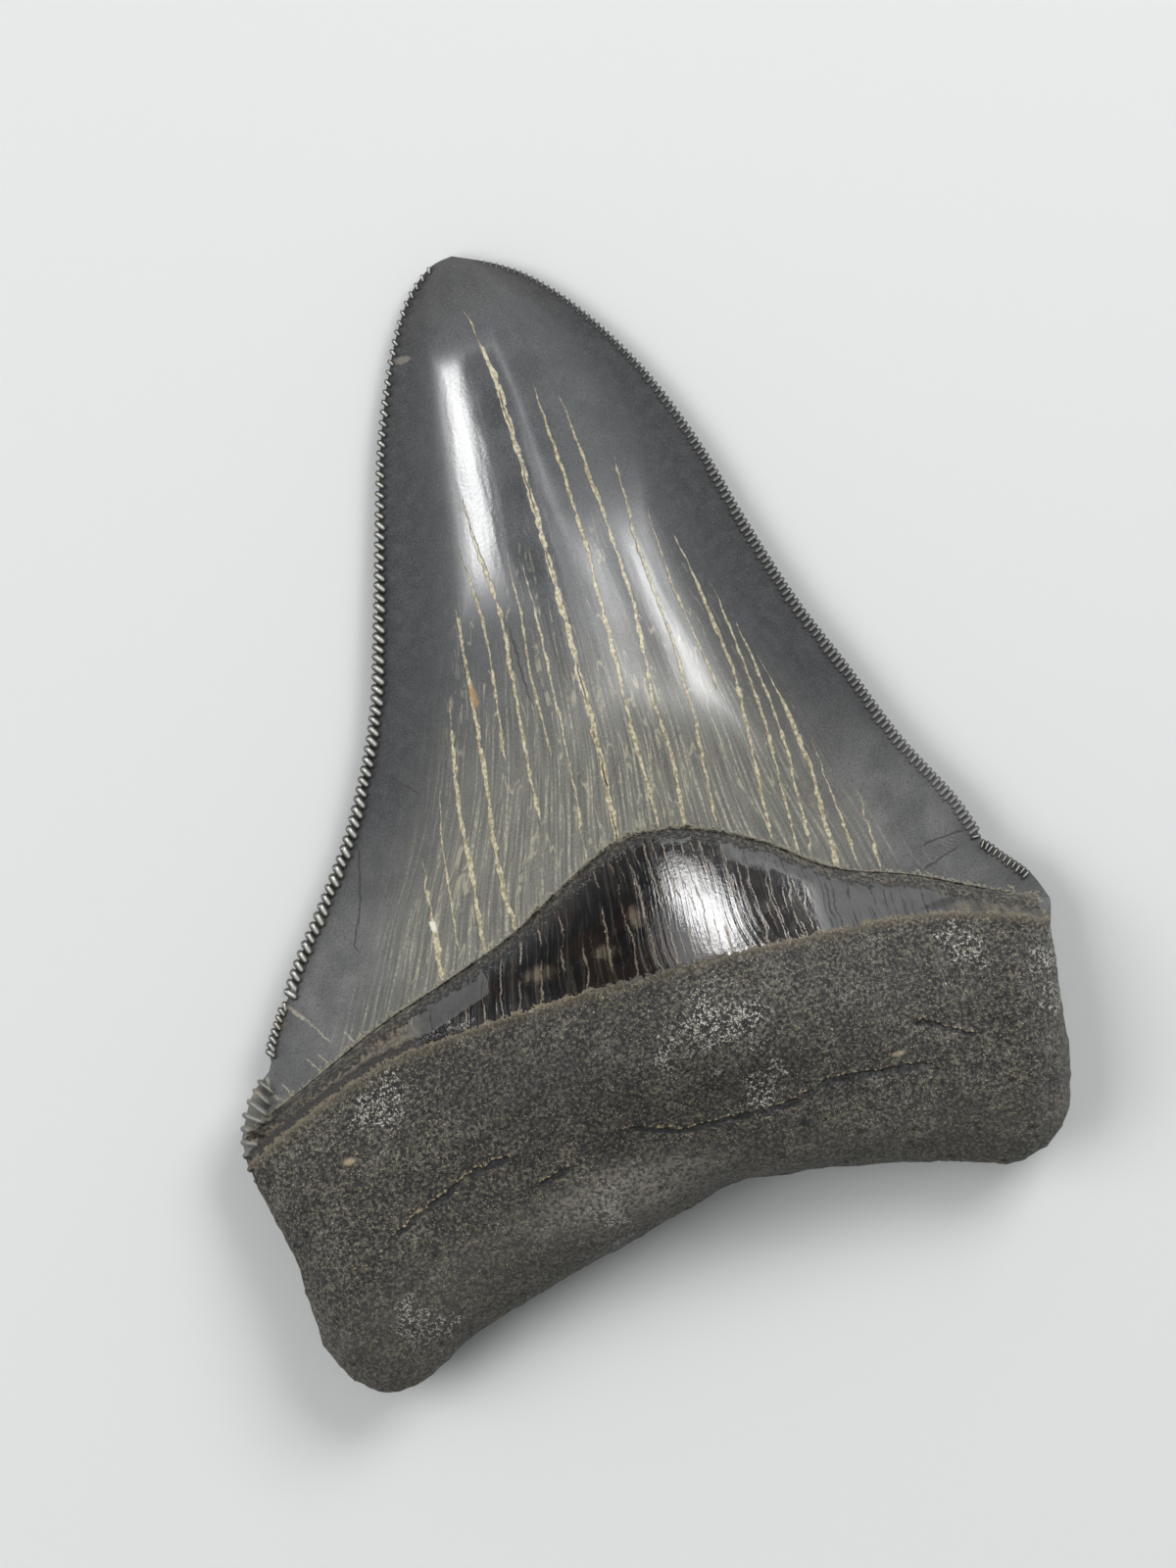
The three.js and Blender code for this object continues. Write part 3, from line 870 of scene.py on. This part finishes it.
def between(factor, first, second):
    """Mixes two numbers."""
    node = paint.tree.nodes.new("ShaderNodeMix")
    for key, value in ((0, factor), (2, first), (3, second)):
        paint.fill(node.inputs[key], value)
    return node.outputs[0]


def blend(factor, first, second):
    """Mixes two colours, each a screen colour or another node's output."""
    node = paint.tree.nodes.new("ShaderNodeMix")
    node.data_type = "RGBA"
    paint.fill(node.inputs[0], factor)
    for key, tint in ((6, first), (7, second)):
        paint.fill(node.inputs[key], colour(*tint) if isinstance(tint, tuple) else tint)
    return node.outputs[2]


def coated(base, *coats):
    """Lays coats over a base colour, one after the other, each where its own factor says."""
    for factor, tint in coats:
        base = blend(factor, base, tint)
    return base


def report(part):
    print(part, "painted, shader nodes so far:", len(fossil.node_tree.nodes))


# %% What every finish reads: distances stored on the mesh, and a few noise patterns
def stored(name):
    return paint.add("ShaderNodeAttribute", output="Fac", attribute_name=name, attribute_type="GEOMETRY")


below_enamel_line = stored("below_enamel")
below_root_line = stored("below_root")
inward_share = stored("inward")
lingual = stored("lingual")
fan = stored("fan")

# These few noise patterns serve the whole material, which keeps it quick to compute
drift = paint.noise(place, 0.3, 3.0)
patches = paint.noise(place, 0.95, 3.0)
grain = paint.noise(place, 2.9, 2.0)
fine_grain = paint.noise(place, 7.5, 1.0)
report("shared patterns")

# %% Patterns drawn out along the tooth, and small stains
def stretched(sideways, lengthways):
    """Place for a pattern drawn out along the tooth: how many times per mm it changes each way."""
    return paint.vector("MULTIPLY", place, (sideways, lengthways, sideways))


def flat_noise(sideways, lengthways, detail):
    """Noise over two values of its own instead of a place."""
    own_place = paint.add("ShaderNodeCombineXYZ", {"X": sideways, "Y": lengthways})
    return paint.add("ShaderNodeTexNoise", {"Vector": own_place, "Scale": 1.0, "Detail": detail},
                     noise_dimensions="2D")


def spot(x_mm, y_mm, long_radius, short_radius, soft=0.25):
    """1 inside a ragged ellipse at a place in plan, 0 outside."""
    away = paint.vector("MULTIPLY", paint.vector("SUBTRACT", place, (x_mm, y_mm, 0)),
                        (1 / long_radius, 1 / short_radius, 0))
    reach = total(paint.vector("LENGTH", away, output="Value"), sway(grain, 1.2))
    return ramp(reach, 1 - soft, 1 + soft, 1.0, 0.0)


def stained(base, stains, soft=0.25):
    """Lays small stains over a colour: the place and radii of each, its strength and its colour."""
    for ellipse, strength, tint in stains:
        base = blend(product(spot(*ellipse, soft), strength), base, tint)
    return base


# %% [markdown]
# The enamel split lengthways while the tooth lay buried, and something pale filled the splits. As real
# grooves they would cost many faces for lines a few tenths of a millimetre wide. Here the running
# number on the mesh is rounded to the nearest crack, and what is left over is the distance to it.

# %% Crack lines in the enamel
CRACK_WOBBLE = 0.55  # mm that a crack wanders to both sides
crack_spacing = stored("crack_gap")
crack_breadth = stored("crack_width")
wobble = sway(paint.noise(stretched(1.1, 0.5), 1.0, 3.0), CRACK_WOBBLE)
shifted = total(stored("crack_phase"), paint.math("DIVIDE", wobble, crack_spacing))
whole = paint.math("ROUND", shifted)
from_crack = product(paint.math("ABSOLUTE", minus(shifted, whole)), crack_spacing)
half_width = product(crack_breadth, ramp(patches, 0.3, 0.62, 0.2, 0.58))
crack = product(ramp(crack_breadth, 0.02, 0.07), ramp(minus(from_crack, half_width), -0.04, 0.05, 1.0, 0.0))
on_main = paint.math("COMPARE", whole, float(MAIN_CRACK), 0.1)
core = product(on_main, crack, ramp(from_crack, 0.03, 0.1, 1.0, 0.0), ramp(drift, 0.45, 0.6))
cream = blend(ramp(grain, 0.35, 0.65), (138, 128, 102), (196, 187, 158))
report("cream cracks")

# %% [markdown]
# Enamel is the hard glassy skin of a tooth, here stained slate grey. It is polished on the dome and worn
# dull elsewhere. One flat colour would look like plastic, so thin coats of noise lie over each other,
# and the streaks follow the fan of the crown because they read how far a place is across it.

# %% Enamel: slate grey, darker and duller towards the cutting edges
slate = coated(
    blend(ramp(inward_share, 0.2, 0.6), (50, 51, 53), (84, 86, 88)),
    (ramp(along_mm, 44.0, 54.0, 0.0, 0.7), (56, 53, 49)),
    # Painted sheen: the lower margins of the crown are made lighter
    (product(ramp(along_mm, 10.0, -6.0), ramp(inward_share, 0.5, 0.2, 0.0, 0.8)), (110, 110, 109)),
    (ramp(drift, 0.38, 0.66, 0.0, 0.5), (52, 53, 55)),
    (ramp(patches, 0.4, 0.66, 0.0, 0.3), (78, 79, 80)),
    (ramp(fine_grain, 0.52, 0.3, 0.0, 0.45), (24, 25, 26)),
    (ramp(fine_grain, 0.55, 0.75, 0.0, 0.25), (112, 112, 108)))
report("slate enamel")

# %% Lower crown: olive above the bourlette, with fine streaks that fan out like the cracks
lower_crown = product(ramp(below_enamel_line, -26.0, -4.0), ramp(inward_share, 0.15, 0.5))
low_edge = product(ramp(below_enamel_line, -7.0, -1.0), ramp(inward_share, 0.12, 0.3))
streaks = flat_noise(product(fan, 92.0), product(along_mm, 0.13), 2.0)
olive = product(lower_crown, ramp(streaks, 0.32, 0.68, 0.4, 0.75))
dark_streak = product(ramp(streaks, 0.46, 0.38), largest(lower_crown, low_edge), lingual, 0.2)
pale_streak = product(ramp(streaks, 0.57, 0.68), ramp(grain, 0.4, 0.62, 0.2, 1.0),
                      largest(product(lower_crown, 0.6), product(low_edge, 0.4)), lingual)
speckle = product(ramp(fine_grain, 0.6, 0.7), ramp(lower_crown, 0.0, 1.0, 0.04, 0.55))
hair = flat_noise(product(fan, 11.0), product(along_mm, 0.075), 3.0)
hairline = product(near_zero(minus(hair, 0.5), 0.004, 0.018), ramp(patches, 0.42, 0.56),
                   ramp(inward_share, 0.3, 0.5), ramp(below_enamel_line, -34.0, -20.0), lingual, 0.65)
enamel = coated(slate, (olive, (120, 118, 106)), (dark_streak, (40, 40, 37)), (speckle, (140, 138, 124)),
                (pale_streak, (176, 173, 154)), (hairline, (162, 157, 136)), (crack, cream),
                (core, (58, 40, 24)))
report("lower crown")

# %% Stains, saw teeth with painted highlights and shade, and scratches on the enamel
SCRATCH_TURN = math.radians(38)
ENAMEL_STAINS = [
    ((-12.2, 15.5, 0.3, 1.1), 0.8, (152, 122, 80)),
    ((-21.7, -3.2, 0.3, 0.5), 1.0, (214, 210, 196)),
    ((-9.7, 46.4, 0.8, 0.35), 0.6, (128, 122, 112)),
    ((-37.6, -7.2, 0.6, 0.9), 0.7, (120, 106, 80)),
    ((28.1, -9.9, 0.5, 0.5), 0.8, (130, 116, 90)),
]
scratch_place = paint.add("ShaderNodeVectorRotate", {"Vector": place, "Angle": SCRATCH_TURN},
                          rotation_type="Z_AXIS")
scratch_noise = paint.noise(paint.vector("MULTIPLY", scratch_place, (2.6, 0.16, 0.5)), 1.0, 1.0)
scratch = product(near_zero(minus(scratch_noise, 0.62), 0.002, 0.012), 0.4)
saw = stored("saw_polish")
# Painted highlight and shade on the saw teeth: faces that look up are painted light, their sides dark
saw_highlight_and_shade = blend(ramp(stored("upright"), 0.72, 0.94), (72, 72, 68), (206, 205, 196))
enamel = coated(
    stained(coated(enamel, (scratch, (40, 41, 43))), ENAMEL_STAINS),
    (ramp(inward_share, 0.09, 0.04, 0.0, 0.25), (50, 51, 53)),
    (paint.math("MULTIPLY", saw, 0.8, clamp=True), saw_highlight_and_shade),
    (product(spot(-41.6, -13.0, 0.7, 0.35, 0.5), 0.7), (140, 124, 92)),
    (ramp(across_mm, -39.5, -41.5, 0.0, 0.5), (128, 127, 120)))
report("stains and saw teeth")

# %% Short pale strokes near the left corner: start, end and breadth in mm
PALE_STROKES = [
    ((-36.6, -6.1), (-34.9, -8.4), 0.3),
    ((-34.95, -8.3), (-33.6, -10.5), 0.14),
    ((-32.2, -9.8), (-31.4, -11.4), 0.14),
    ((-36.2, -11.2), (-35.2, -12.8), 0.14),
    ((-35.1, -11.1), (-34.1, -12.7), 0.12),
    ((-40.0, -11.8), (-40.3, -13.4), 0.22),
    ((-40.2, -13.2), (-38.8, -14.9), 0.22),
    ((-38.9, -12.8), (-38.2, -14.3), 0.16),
]


def stroke(start, end, breadth):
    """1 on a short straight line between two places in plan, 0 outside."""
    length = math.hypot(end[0] - start[0], end[1] - start[1])
    ahead = ((end[0] - start[0]) / length, (end[1] - start[1]) / length, 0)
    here = paint.vector("SUBTRACT", place, (*start, 0))
    along = paint.vector("DOT_PRODUCT", here, ahead, output="Value")
    aside = paint.vector("DOT_PRODUCT", here, (-ahead[1], ahead[0], 0), output="Value")
    return product(near_zero(total(aside, sway(grain, 0.4)), breadth / 2 - 0.05, breadth / 2 + 0.06),
                   ramp(along, -0.1, 0.3), ramp(along, length - 0.3, length + 0.1, 1.0, 0.0))


broken_up = ramp(grain, 0.36, 0.56, 0.3, 0.9)
for measures in PALE_STROKES:
    enamel = blend(product(stroke(*measures), broken_up), enamel, (150, 146, 128))
dark_gap = total(stored("dark_line"), sway(patches, 0.5))
enamel = blend(product(near_zero(dark_gap, 0.04, 0.14), 0.8), enamel, (36, 35, 33))
report("strokes")

# %% Where the enamel is worn dull, and where it is still polished
worn = largest(ramp(inward_share, 0.6, 0.34), ramp(below_enamel_line, -16.0, -6.0),
               product(ramp(fan, -0.1, -0.2), ramp(along_mm, 30.0, 15.0)), ramp(along_mm, 43.0, 48.0),
               product(ramp(fan, 0.0, 0.14), ramp(along_mm, 20.0, 36.0)))
enamel_roughness = total(ramp(worn, 0.0, 1.0, 0.27, 0.9), product(crack, 0.2),
                         ramp(fan, 0.0, 0.2, 0.0, 0.07))
enamel_roughness = between(paint.math("MULTIPLY", saw, 1.0, clamp=True), enamel_roughness, 0.2)
waves = paint.noise(stretched(0.9, 0.06), 1.0, 1.0)
enamel_height = minus(total(product(waves, 0.05), product(grain, 0.012)), product(crack, 0.05))
report("wear of the enamel")

# %% [markdown]
# The bourlette is a band of thin, dark enamel between crown and root. It is the glossiest part, with
# fine upright cracks. Their number is the rounded place across, so every crack gets a strength of its
# own from noise, and some fade out halfway, as they do on the real one.

# %% Bourlette: thin upright cracks, each with its own strength that changes along it
slant = ramp(across_mm, -18.0, -2.0, 0.3, 0.0)
leaning = minus(across_mm, product(slant, along_mm))
swing = total(sway(drift, 1.2), sway(grain, 0.3))


def split_lines(per_mm, key, width):
    phase = product(total(leaning, swing), per_mm)
    number = paint.math("ROUND", phase)
    away = product(minus(phase, number), 1 / per_mm)
    strength = flat_noise(product(number, key), product(along_mm, 0.3), 1.0)
    return product(near_zero(away, 0.01, width), ramp(strength, 0.36, 0.56))


wide_lines = split_lines(0.62, 7.7, 0.11)
thin_lines = product(split_lines(1.2, 3.3, 0.075), ramp(across_mm, -6.0, 0.0, 0.2, 0.75))
split_line = product(largest(wide_lines, thin_lines), ramp(fine_grain, 0.4, 0.56, 0.35, 1.0))
report("cracks of the bourlette")

# %% Bourlette: black-brown and glossy, with smooth grey remnants, painted grey reflection on its right and a dull ledge at each end
ragged_depth = total(below_enamel_line, sway(patches, 2.5))
# Painted reflection: the right side of the bourlette is painted grey; the remnant on the left is grey
# enamel
painted_reflection_side = largest(ramp(across_mm, 10.8, 12.6),
                     product(ramp(across_mm, 4.0, 7.0), ramp(ragged_depth, 3.2, 2.0)))
remnant = product(ramp(across_mm, -18.7, -18.5, 1.0, 0.0), ramp(across_mm, -27.0, -25.0),
                  ramp(below_enamel_line, 3.3, 3.0))
grey_remnant_and_reflection = largest(painted_reflection_side, remnant)
left_ledge = ramp(across_mm, -24.5, -27.5)
right_ledge = ramp(across_mm, 21.0, 25.0, 0.0, 0.8)
striae = product(ramp(streaks, 0.55, 0.68), minus(1.0, grey_remnant_and_reflection), 0.25)
bourlette = coated(
    blend(ramp(drift, 0.42, 0.6), (12, 12, 13), (27, 20, 17)),
    (grey_remnant_and_reflection, blend(ramp(patches, 0.4, 0.6), (42, 43, 43), (60, 60, 59))),
    (left_ledge, blend(ramp(grain, 0.4, 0.6), (44, 40, 33), (92, 83, 66))),
    (right_ledge, blend(ramp(patches, 0.4, 0.6), (50, 47, 41), (88, 82, 69))),
    (striae, (78, 72, 62)),
    (product(split_line, ramp(grey_remnant_and_reflection, 0.0, 1.0, 0.8, 0.6)),
     blend(grey_remnant_and_reflection, (112, 96, 70), (34, 28, 20))),
    (spot(22.6, -14.5, 2.0, 0.35, 0.4), (14, 14, 15)))
for ellipse in ((-13.9, -10.0, 1.3, 0.6), (-7.7, -9.8, 0.8, 0.55), (-4.2, -7.6, 0.5, 0.9)):
    pale_patch = product(spot(*ellipse, 0.6), ramp(streaks, 0.38, 0.6, 0.25, 0.85))
    bourlette = blend(pale_patch, bourlette, (104, 94, 78))
bourlette = blend(spot(1.7, -1.8, 1.9, 0.65, 0.15), bourlette, (74, 76, 72))
bourlette_roughness = total(ramp(patches, 0.3, 0.7, 0.1, 0.2), product(split_line, 0.5),
                            product(largest(grey_remnant_and_reflection, left_ledge), 0.58))
bourlette_height = minus(total(product(streaks, 0.03), product(grain, 0.012), product(fine_grain, 0.006)),
                         product(split_line, 0.012))
report("bourlette")

# %% [markdown]
# The root is rough, nearly black stone. Its relief is already in the mesh, so the paint adds what is
# smaller: pale specks, dark pits, cracks and clusters of tiny bright crystals. The clusters are partly
# painted glints; they are made smooth as well as pale, so they also glint when the light moves.

# %% Root: clusters of bright crystals and painted glints on the charcoal stone, place and radius in mm
CRYSTAL_AND_GLINT_CLUSTERS = [
    (0.4, -18.7, 3.8), (22.9, -19.1, 1.8), (-30.8, -17.0, 2.2), (-5.5, -20.9, 1.4), (2.8, -25.9, 1.2),
    (-14.4, -32.6, 1.3), (-32.4, -37.2, 1.8), (30.4, -22.0, 1.2), (30.0, -25.5, 1.2)]
flat_place = paint.vector("MULTIPLY", place, (1, 1, 0))
cluster_rag = total(sway(drift, 11.0), sway(patches, 5.0))
crystal_and_glint_clusters = product(ramp(drift, 0.5, 0.62), 0.12)
for x_mm, y_mm, radius in CRYSTAL_AND_GLINT_CLUSTERS:
    away = total(paint.vector("DISTANCE", flat_place, (x_mm, y_mm, 0), output="Value"), cluster_rag)
    crystal_and_glint_clusters = largest(crystal_and_glint_clusters, ramp(away, radius * 1.3, radius * 0.3))
crystals = product(ramp(fine_grain, 0.5, 0.6), ramp(grain, 0.46, 0.56), crystal_and_glint_clusters)
report("crystals")

# %% Root: sandy charcoal stone with pale specks, dark pits, long cracks and patches of painted light and shade
FLECKS = [(-35.0, -21.1, 0.55, 0.3), (-30.2, -27.3, 0.45, 0.35), (14.7, -26.1, 0.6, 0.2),
          (-25.6, -25.6, 0.5, 0.25)]
root_gap = total(stored("dark_line"), sway(patches, 1.0))
root_crack = product(near_zero(root_gap, 0.14, 0.36), ramp(drift, 0.36, 0.5, 0.6, 1.0))
tan_rim = product(near_zero(minus(root_gap, 0.35), 0.05, 0.22), ramp(grain, 0.5, 0.58), 0.8)
root = coated(
    blend(ramp(patches, 0.38, 0.62), (22, 21, 18), (45, 42, 35)),
    (ramp(drift, 0.46, 0.62, 0.0, 0.4), (70, 66, 56)),
    (ramp(grain, 0.54, 0.66, 0.0, 0.85), (86, 80, 62)),
    (ramp(grain, 0.46, 0.39, 0.0, 0.9), (9, 9, 8)),
    (ramp(fine_grain, 0.66, 0.74, 0.0, 0.9), (172, 156, 116)),
    (ramp(fine_grain, 0.44, 0.36, 0.0, 0.9), (6, 6, 5)),
    # Pale crystals, partly painted glints
    (product(crystals, 0.7), (206, 203, 192)),
    # Painted shade: a broad darker patch on the upper root
    (product(spot(-15.8, -19.3, 8.0, 3.6, 0.6), 0.4), (14, 13, 11)),
    # Painted reflection of the table: a lighter patch low on the root, and the basal slope lighter towards
    # its edge
    (product(spot(-12.0, -31.0, 8.0, 2.4, 0.6), ramp(grain, 0.36, 0.6, 0.1, 0.6)), (116, 111, 103)),
    (ramp(below_root_line, 14.5, 20.0, 0.0, 0.15), (112, 109, 100)),
    (ramp(below_root_line, 1.2, 0.2, 0.0, 0.3), (98, 86, 62)))
root = stained(root, [(ellipse, 0.8, (150, 136, 108)) for ellipse in FLECKS], soft=0.4)
root = coated(root, (tan_rim, (158, 142, 106)), (root_crack, (5, 5, 5)),
              # Painted shade: a black spot stands for the nutrient pit, which the mesh does not hollow out
              (spot(5.0, -29.5, 0.4, 0.35, 0.2), (4, 4, 4)))
root_roughness = between(crystals, ramp(grain, 0.4, 0.6, 0.95, 0.7), 0.2)
root_height = minus(total(product(grain, 0.22), product(fine_grain, 0.08)), product(root_crack, 0.4))
report("root")

# %% [markdown]
# The enamel ends in a thin broken rim with a crust below it, and the bourlette ends in a fine pale seam.
# A straight border would look painted, so the distances to both lines are made ragged with noise, and
# the rim, the crust and the grooves all follow the same ragged distance.

# %% Join the three finishes along ragged lines
rag = total(sway(patches, 1.4), sway(grain, 1.7))
enamel_edge = total(below_enamel_line, rag)
root_edge = total(below_root_line, product(rag, 0.7))
past_enamel = ramp(enamel_edge, -0.06, 0.06)
past_root = ramp(root_edge, -0.08, 0.2)
skin_colour = blend(past_root, blend(past_enamel, enamel, bourlette), root)
skin_roughness = between(past_root, between(past_enamel, enamel_roughness, bourlette_roughness),
                         root_roughness)
skin_height = between(past_root, between(past_enamel, enamel_height, bourlette_height), root_height)
report("joined finishes")

# %% The crust, the rim and the grooves along the two lines, with painted shade in the root's groove
crust = product(ramp(enamel_edge, 0.9, 1.3, 1.0, 0.0), past_enamel)
crust_colour = blend(ramp(grain, 0.44, 0.6), (20, 19, 17),
                     blend(ramp(across_mm, 4.0, 9.0), (78, 73, 62), (106, 99, 83)))
groove = near_zero(minus(enamel_edge, 0.4), 0.06, 0.26)
rim_line = product(near_zero(enamel_edge, 0.09, 0.26), ramp(grain, 0.4, 0.54, 0.25, 0.95))
root_seam = product(near_zero(minus(root_edge, 0.05), 0.05, 0.2),
                    largest(ramp(across_mm, -7.0, -13.0), ramp(across_mm, 2.0, 5.0)),
                    ramp(patches, 0.36, 0.56, 0.35, 0.9))
# At the left end of the root line: a shallow dent in the bump, painted nearly black as its shade
root_groove_and_shade = product(near_zero(total(root_edge, 0.45), 0.12, 0.4), ramp(across_mm, -20.0, -27.0))
skin_colour = coated(skin_colour, (product(crust, 0.9), crust_colour), (product(groove, 0.7), (20, 19, 17)),
                     (rim_line, (146, 140, 120)), (root_seam, (122, 111, 88)),
                     (product(root_groove_and_shade, 0.9), (6, 6, 6)))
skin_height = total(minus(skin_height, product(root_groove_and_shade, 0.5)), product(crust, grain, 0.5))
skin_roughness = between(crust, skin_roughness, 0.85)
report("crust and grooves")

# %% Put the material on the tooth and hand the tooth to the frame
ENAMEL_IOR = 1.62
SHARP_ANGLE = math.radians(50)
bump = paint.add("ShaderNodeBump", {"Strength": 1.0, "Distance": MM, "Height": skin_height}, "Normal")
surface = paint.add("ShaderNodeBsdfPrincipled", {
    "Base Color": skin_colour, "Roughness": skin_roughness, "IOR": ENAMEL_IOR, "Normal": bump})
paint.fill(fossil.node_tree.nodes.new("ShaderNodeOutputMaterial").inputs["Surface"], surface)
tooth_mesh.materials.clear()
tooth_mesh.materials.append(fossil)
tooth_mesh.shade_smooth()
tooth_mesh.set_sharp_from_angle(angle=SHARP_ANGLE)
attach(tooth, "root")
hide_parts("tooth")
report("whole tooth")

# %% [markdown]
# A plain pale table catches the soft shadow. It is wide enough that no view of the tooth sees its edge.

# %% The table
TABLE_SIZE = 6.0
TABLE_ROUGHNESS = 0.5


def table_top():
    bpy.ops.mesh.primitive_plane_add(size=TABLE_SIZE, location=(0, 0, 0))
    top = bpy.context.object
    top.name = "table"
    finish = bpy.data.materials.new("pale table")
    finish.use_nodes = True
    shader = finish.node_tree.nodes["Principled BSDF"]
    shader.inputs["Base Color"].default_value = colour(212, 214, 213)
    shader.inputs["Roughness"].default_value = TABLE_ROUGHNESS
    top.data.materials.append(finish)
    return top


table_top()
print("table, metres across:", TABLE_SIZE)

# %% [markdown]
# The camera hangs straight above the lingual face, turned a little, and far enough away that the tooth
# looks as flat as through a long lens. Its lens is worked out from the stretch of table that the tall
# image spans.

# %% The camera
IMAGE_SPAN = 140.8 * MM  # what the image's height covers at the height of the tooth's middle
VIEW_CENTRE = (-4.74, 4.95)
VIEW_TURN = math.radians(-17)
CAMERA_HEIGHT = 1.0
MIDDLE_HEIGHT = 6 * MM
SENSOR = 36.0
camera_data = bpy.data.cameras.new("camera")
camera_data.sensor_width = SENSOR
camera_data.lens = SENSOR * (CAMERA_HEIGHT - MIDDLE_HEIGHT) / IMAGE_SPAN
camera = new_object("camera", camera_data)
camera.location = Vector(to_frame((*VIEW_CENTRE, 0.0))) + Vector((0, 0, CAMERA_HEIGHT))
camera.rotation_euler = (0, 0, VIEW_TURN)
bpy.context.scene.camera = camera
print("lens:", round(camera_data.lens, 1), "mm")

# %% [markdown]
# A highlight sits where the surface mirrors a light into the camera. So instead of guessing, each light
# is placed by aiming: a ray finds the surface and its normal at the spot that should shine, the view
# direction is mirrored there, and the light goes out along that line.

# %% One area light in one call
def new_light(name, location, towards, size, power):
    data = bpy.data.lights.new(name, "AREA")
    data.shape = "ELLIPSE" if isinstance(size, tuple) else "SQUARE"
    data.size, data.size_y = size if isinstance(size, tuple) else (size, size)
    data.energy = power
    light = new_object(name, data)
    light.location = location
    light.rotation_euler = Vector(towards).to_track_quat("-Z", "Y").to_euler()
    return light


bpy.context.view_layer.update()
surface_tree = BVHTree.FromObject(tooth, bpy.context.evaluated_depsgraph_get())
top_place = surface_tree.ray_cast(Vector((0, 0, 1)), Vector((0, 0, -1)))[0]
print("height above the middle of the table, mm:", round(top_place.z / MM, 1))

# %% Lights placed by the highlights they make
AROUND = [(0, 0), (1, 0), (-1, 0), (0, 1), (0, -1)]
AIM_SPREAD = 0.8  # mm between the rays whose normals are averaged
RAY_START = 100.0  # mm above the table
LIGHT_DISTANCE = 0.8  # metres from the spot that shines


def shining_light(name, aim, size, power):
    """An area light that shows as a highlight at the aimed place, in design millimetres."""
    hits = []
    for step_x, step_y in AROUND:
        above = Vector(to_frame((aim[0] + step_x * AIM_SPREAD, aim[1] + step_y * AIM_SPREAD, RAY_START)))
        hits.append(surface_tree.ray_cast(above, Vector((0, 0, -1))))
    spot_place = hits[0][0]
    normal = sum((hit[1] for hit in hits), Vector()).normalized()
    to_camera = (camera.location - spot_place).normalized()
    mirrored = (2 * normal.dot(to_camera) * normal - to_camera).normalized()
    light = new_light(name, spot_place + mirrored * LIGHT_DISTANCE, -mirrored, size, power)
    light.visible_diffuse = False
    print(name, "at", [round(v, 2) for v in light.location], "towards", [round(v, 2) for v in mirrored])


shining_light("window on the left dome", (-6.1, 39.6), (0.2, 0.32), 4.0)
shining_light("window on the right dome", (7.0, 14.4), (0.34, 0.42), 7.2)
shining_light("window on the bourlette", (2.2, -9.0), (0.46, 0.28), 5.2)
shining_light("sheen along the ridge", (0.5, 14.0), (0.7, 0.7), 2.8)

# %% A soft fill, the world around, and the way the picture is developed
FILLS = [("fill from the right", (0.8, 0.6, 1.0), 0.7, 12.0),
         ("fill from the left", (-0.8, 0.2, 1.0), 0.9, 11.3)]
for name, location, size, power in FILLS:
    fill = new_light(name, location, -Vector(location), size, power)
    fill.visible_glossy = False

COOL_WHITE = (0.94, 0.97, 1.0, 1.0)
world = bpy.data.worlds.new("soft room")
world.use_nodes = True
world.node_tree.nodes.clear()
room = Bench(world.node_tree)
direction = room.add("ShaderNodeTexCoord", output="Generated")
upward = room.add("ShaderNodeSeparateXYZ", {0: direction}, "Z")
glow = room.ramp(upward, 0.25, 0.85, 0.62, 0.08)
sky = room.add("ShaderNodeBackground", {"Color": COOL_WHITE, "Strength": glow})
room.fill(world.node_tree.nodes.new("ShaderNodeOutputWorld").inputs["Surface"], sky)
bpy.context.scene.world = world
bpy.context.scene.view_settings.view_transform = "Standard"
print("soft fills:", len(FILLS))
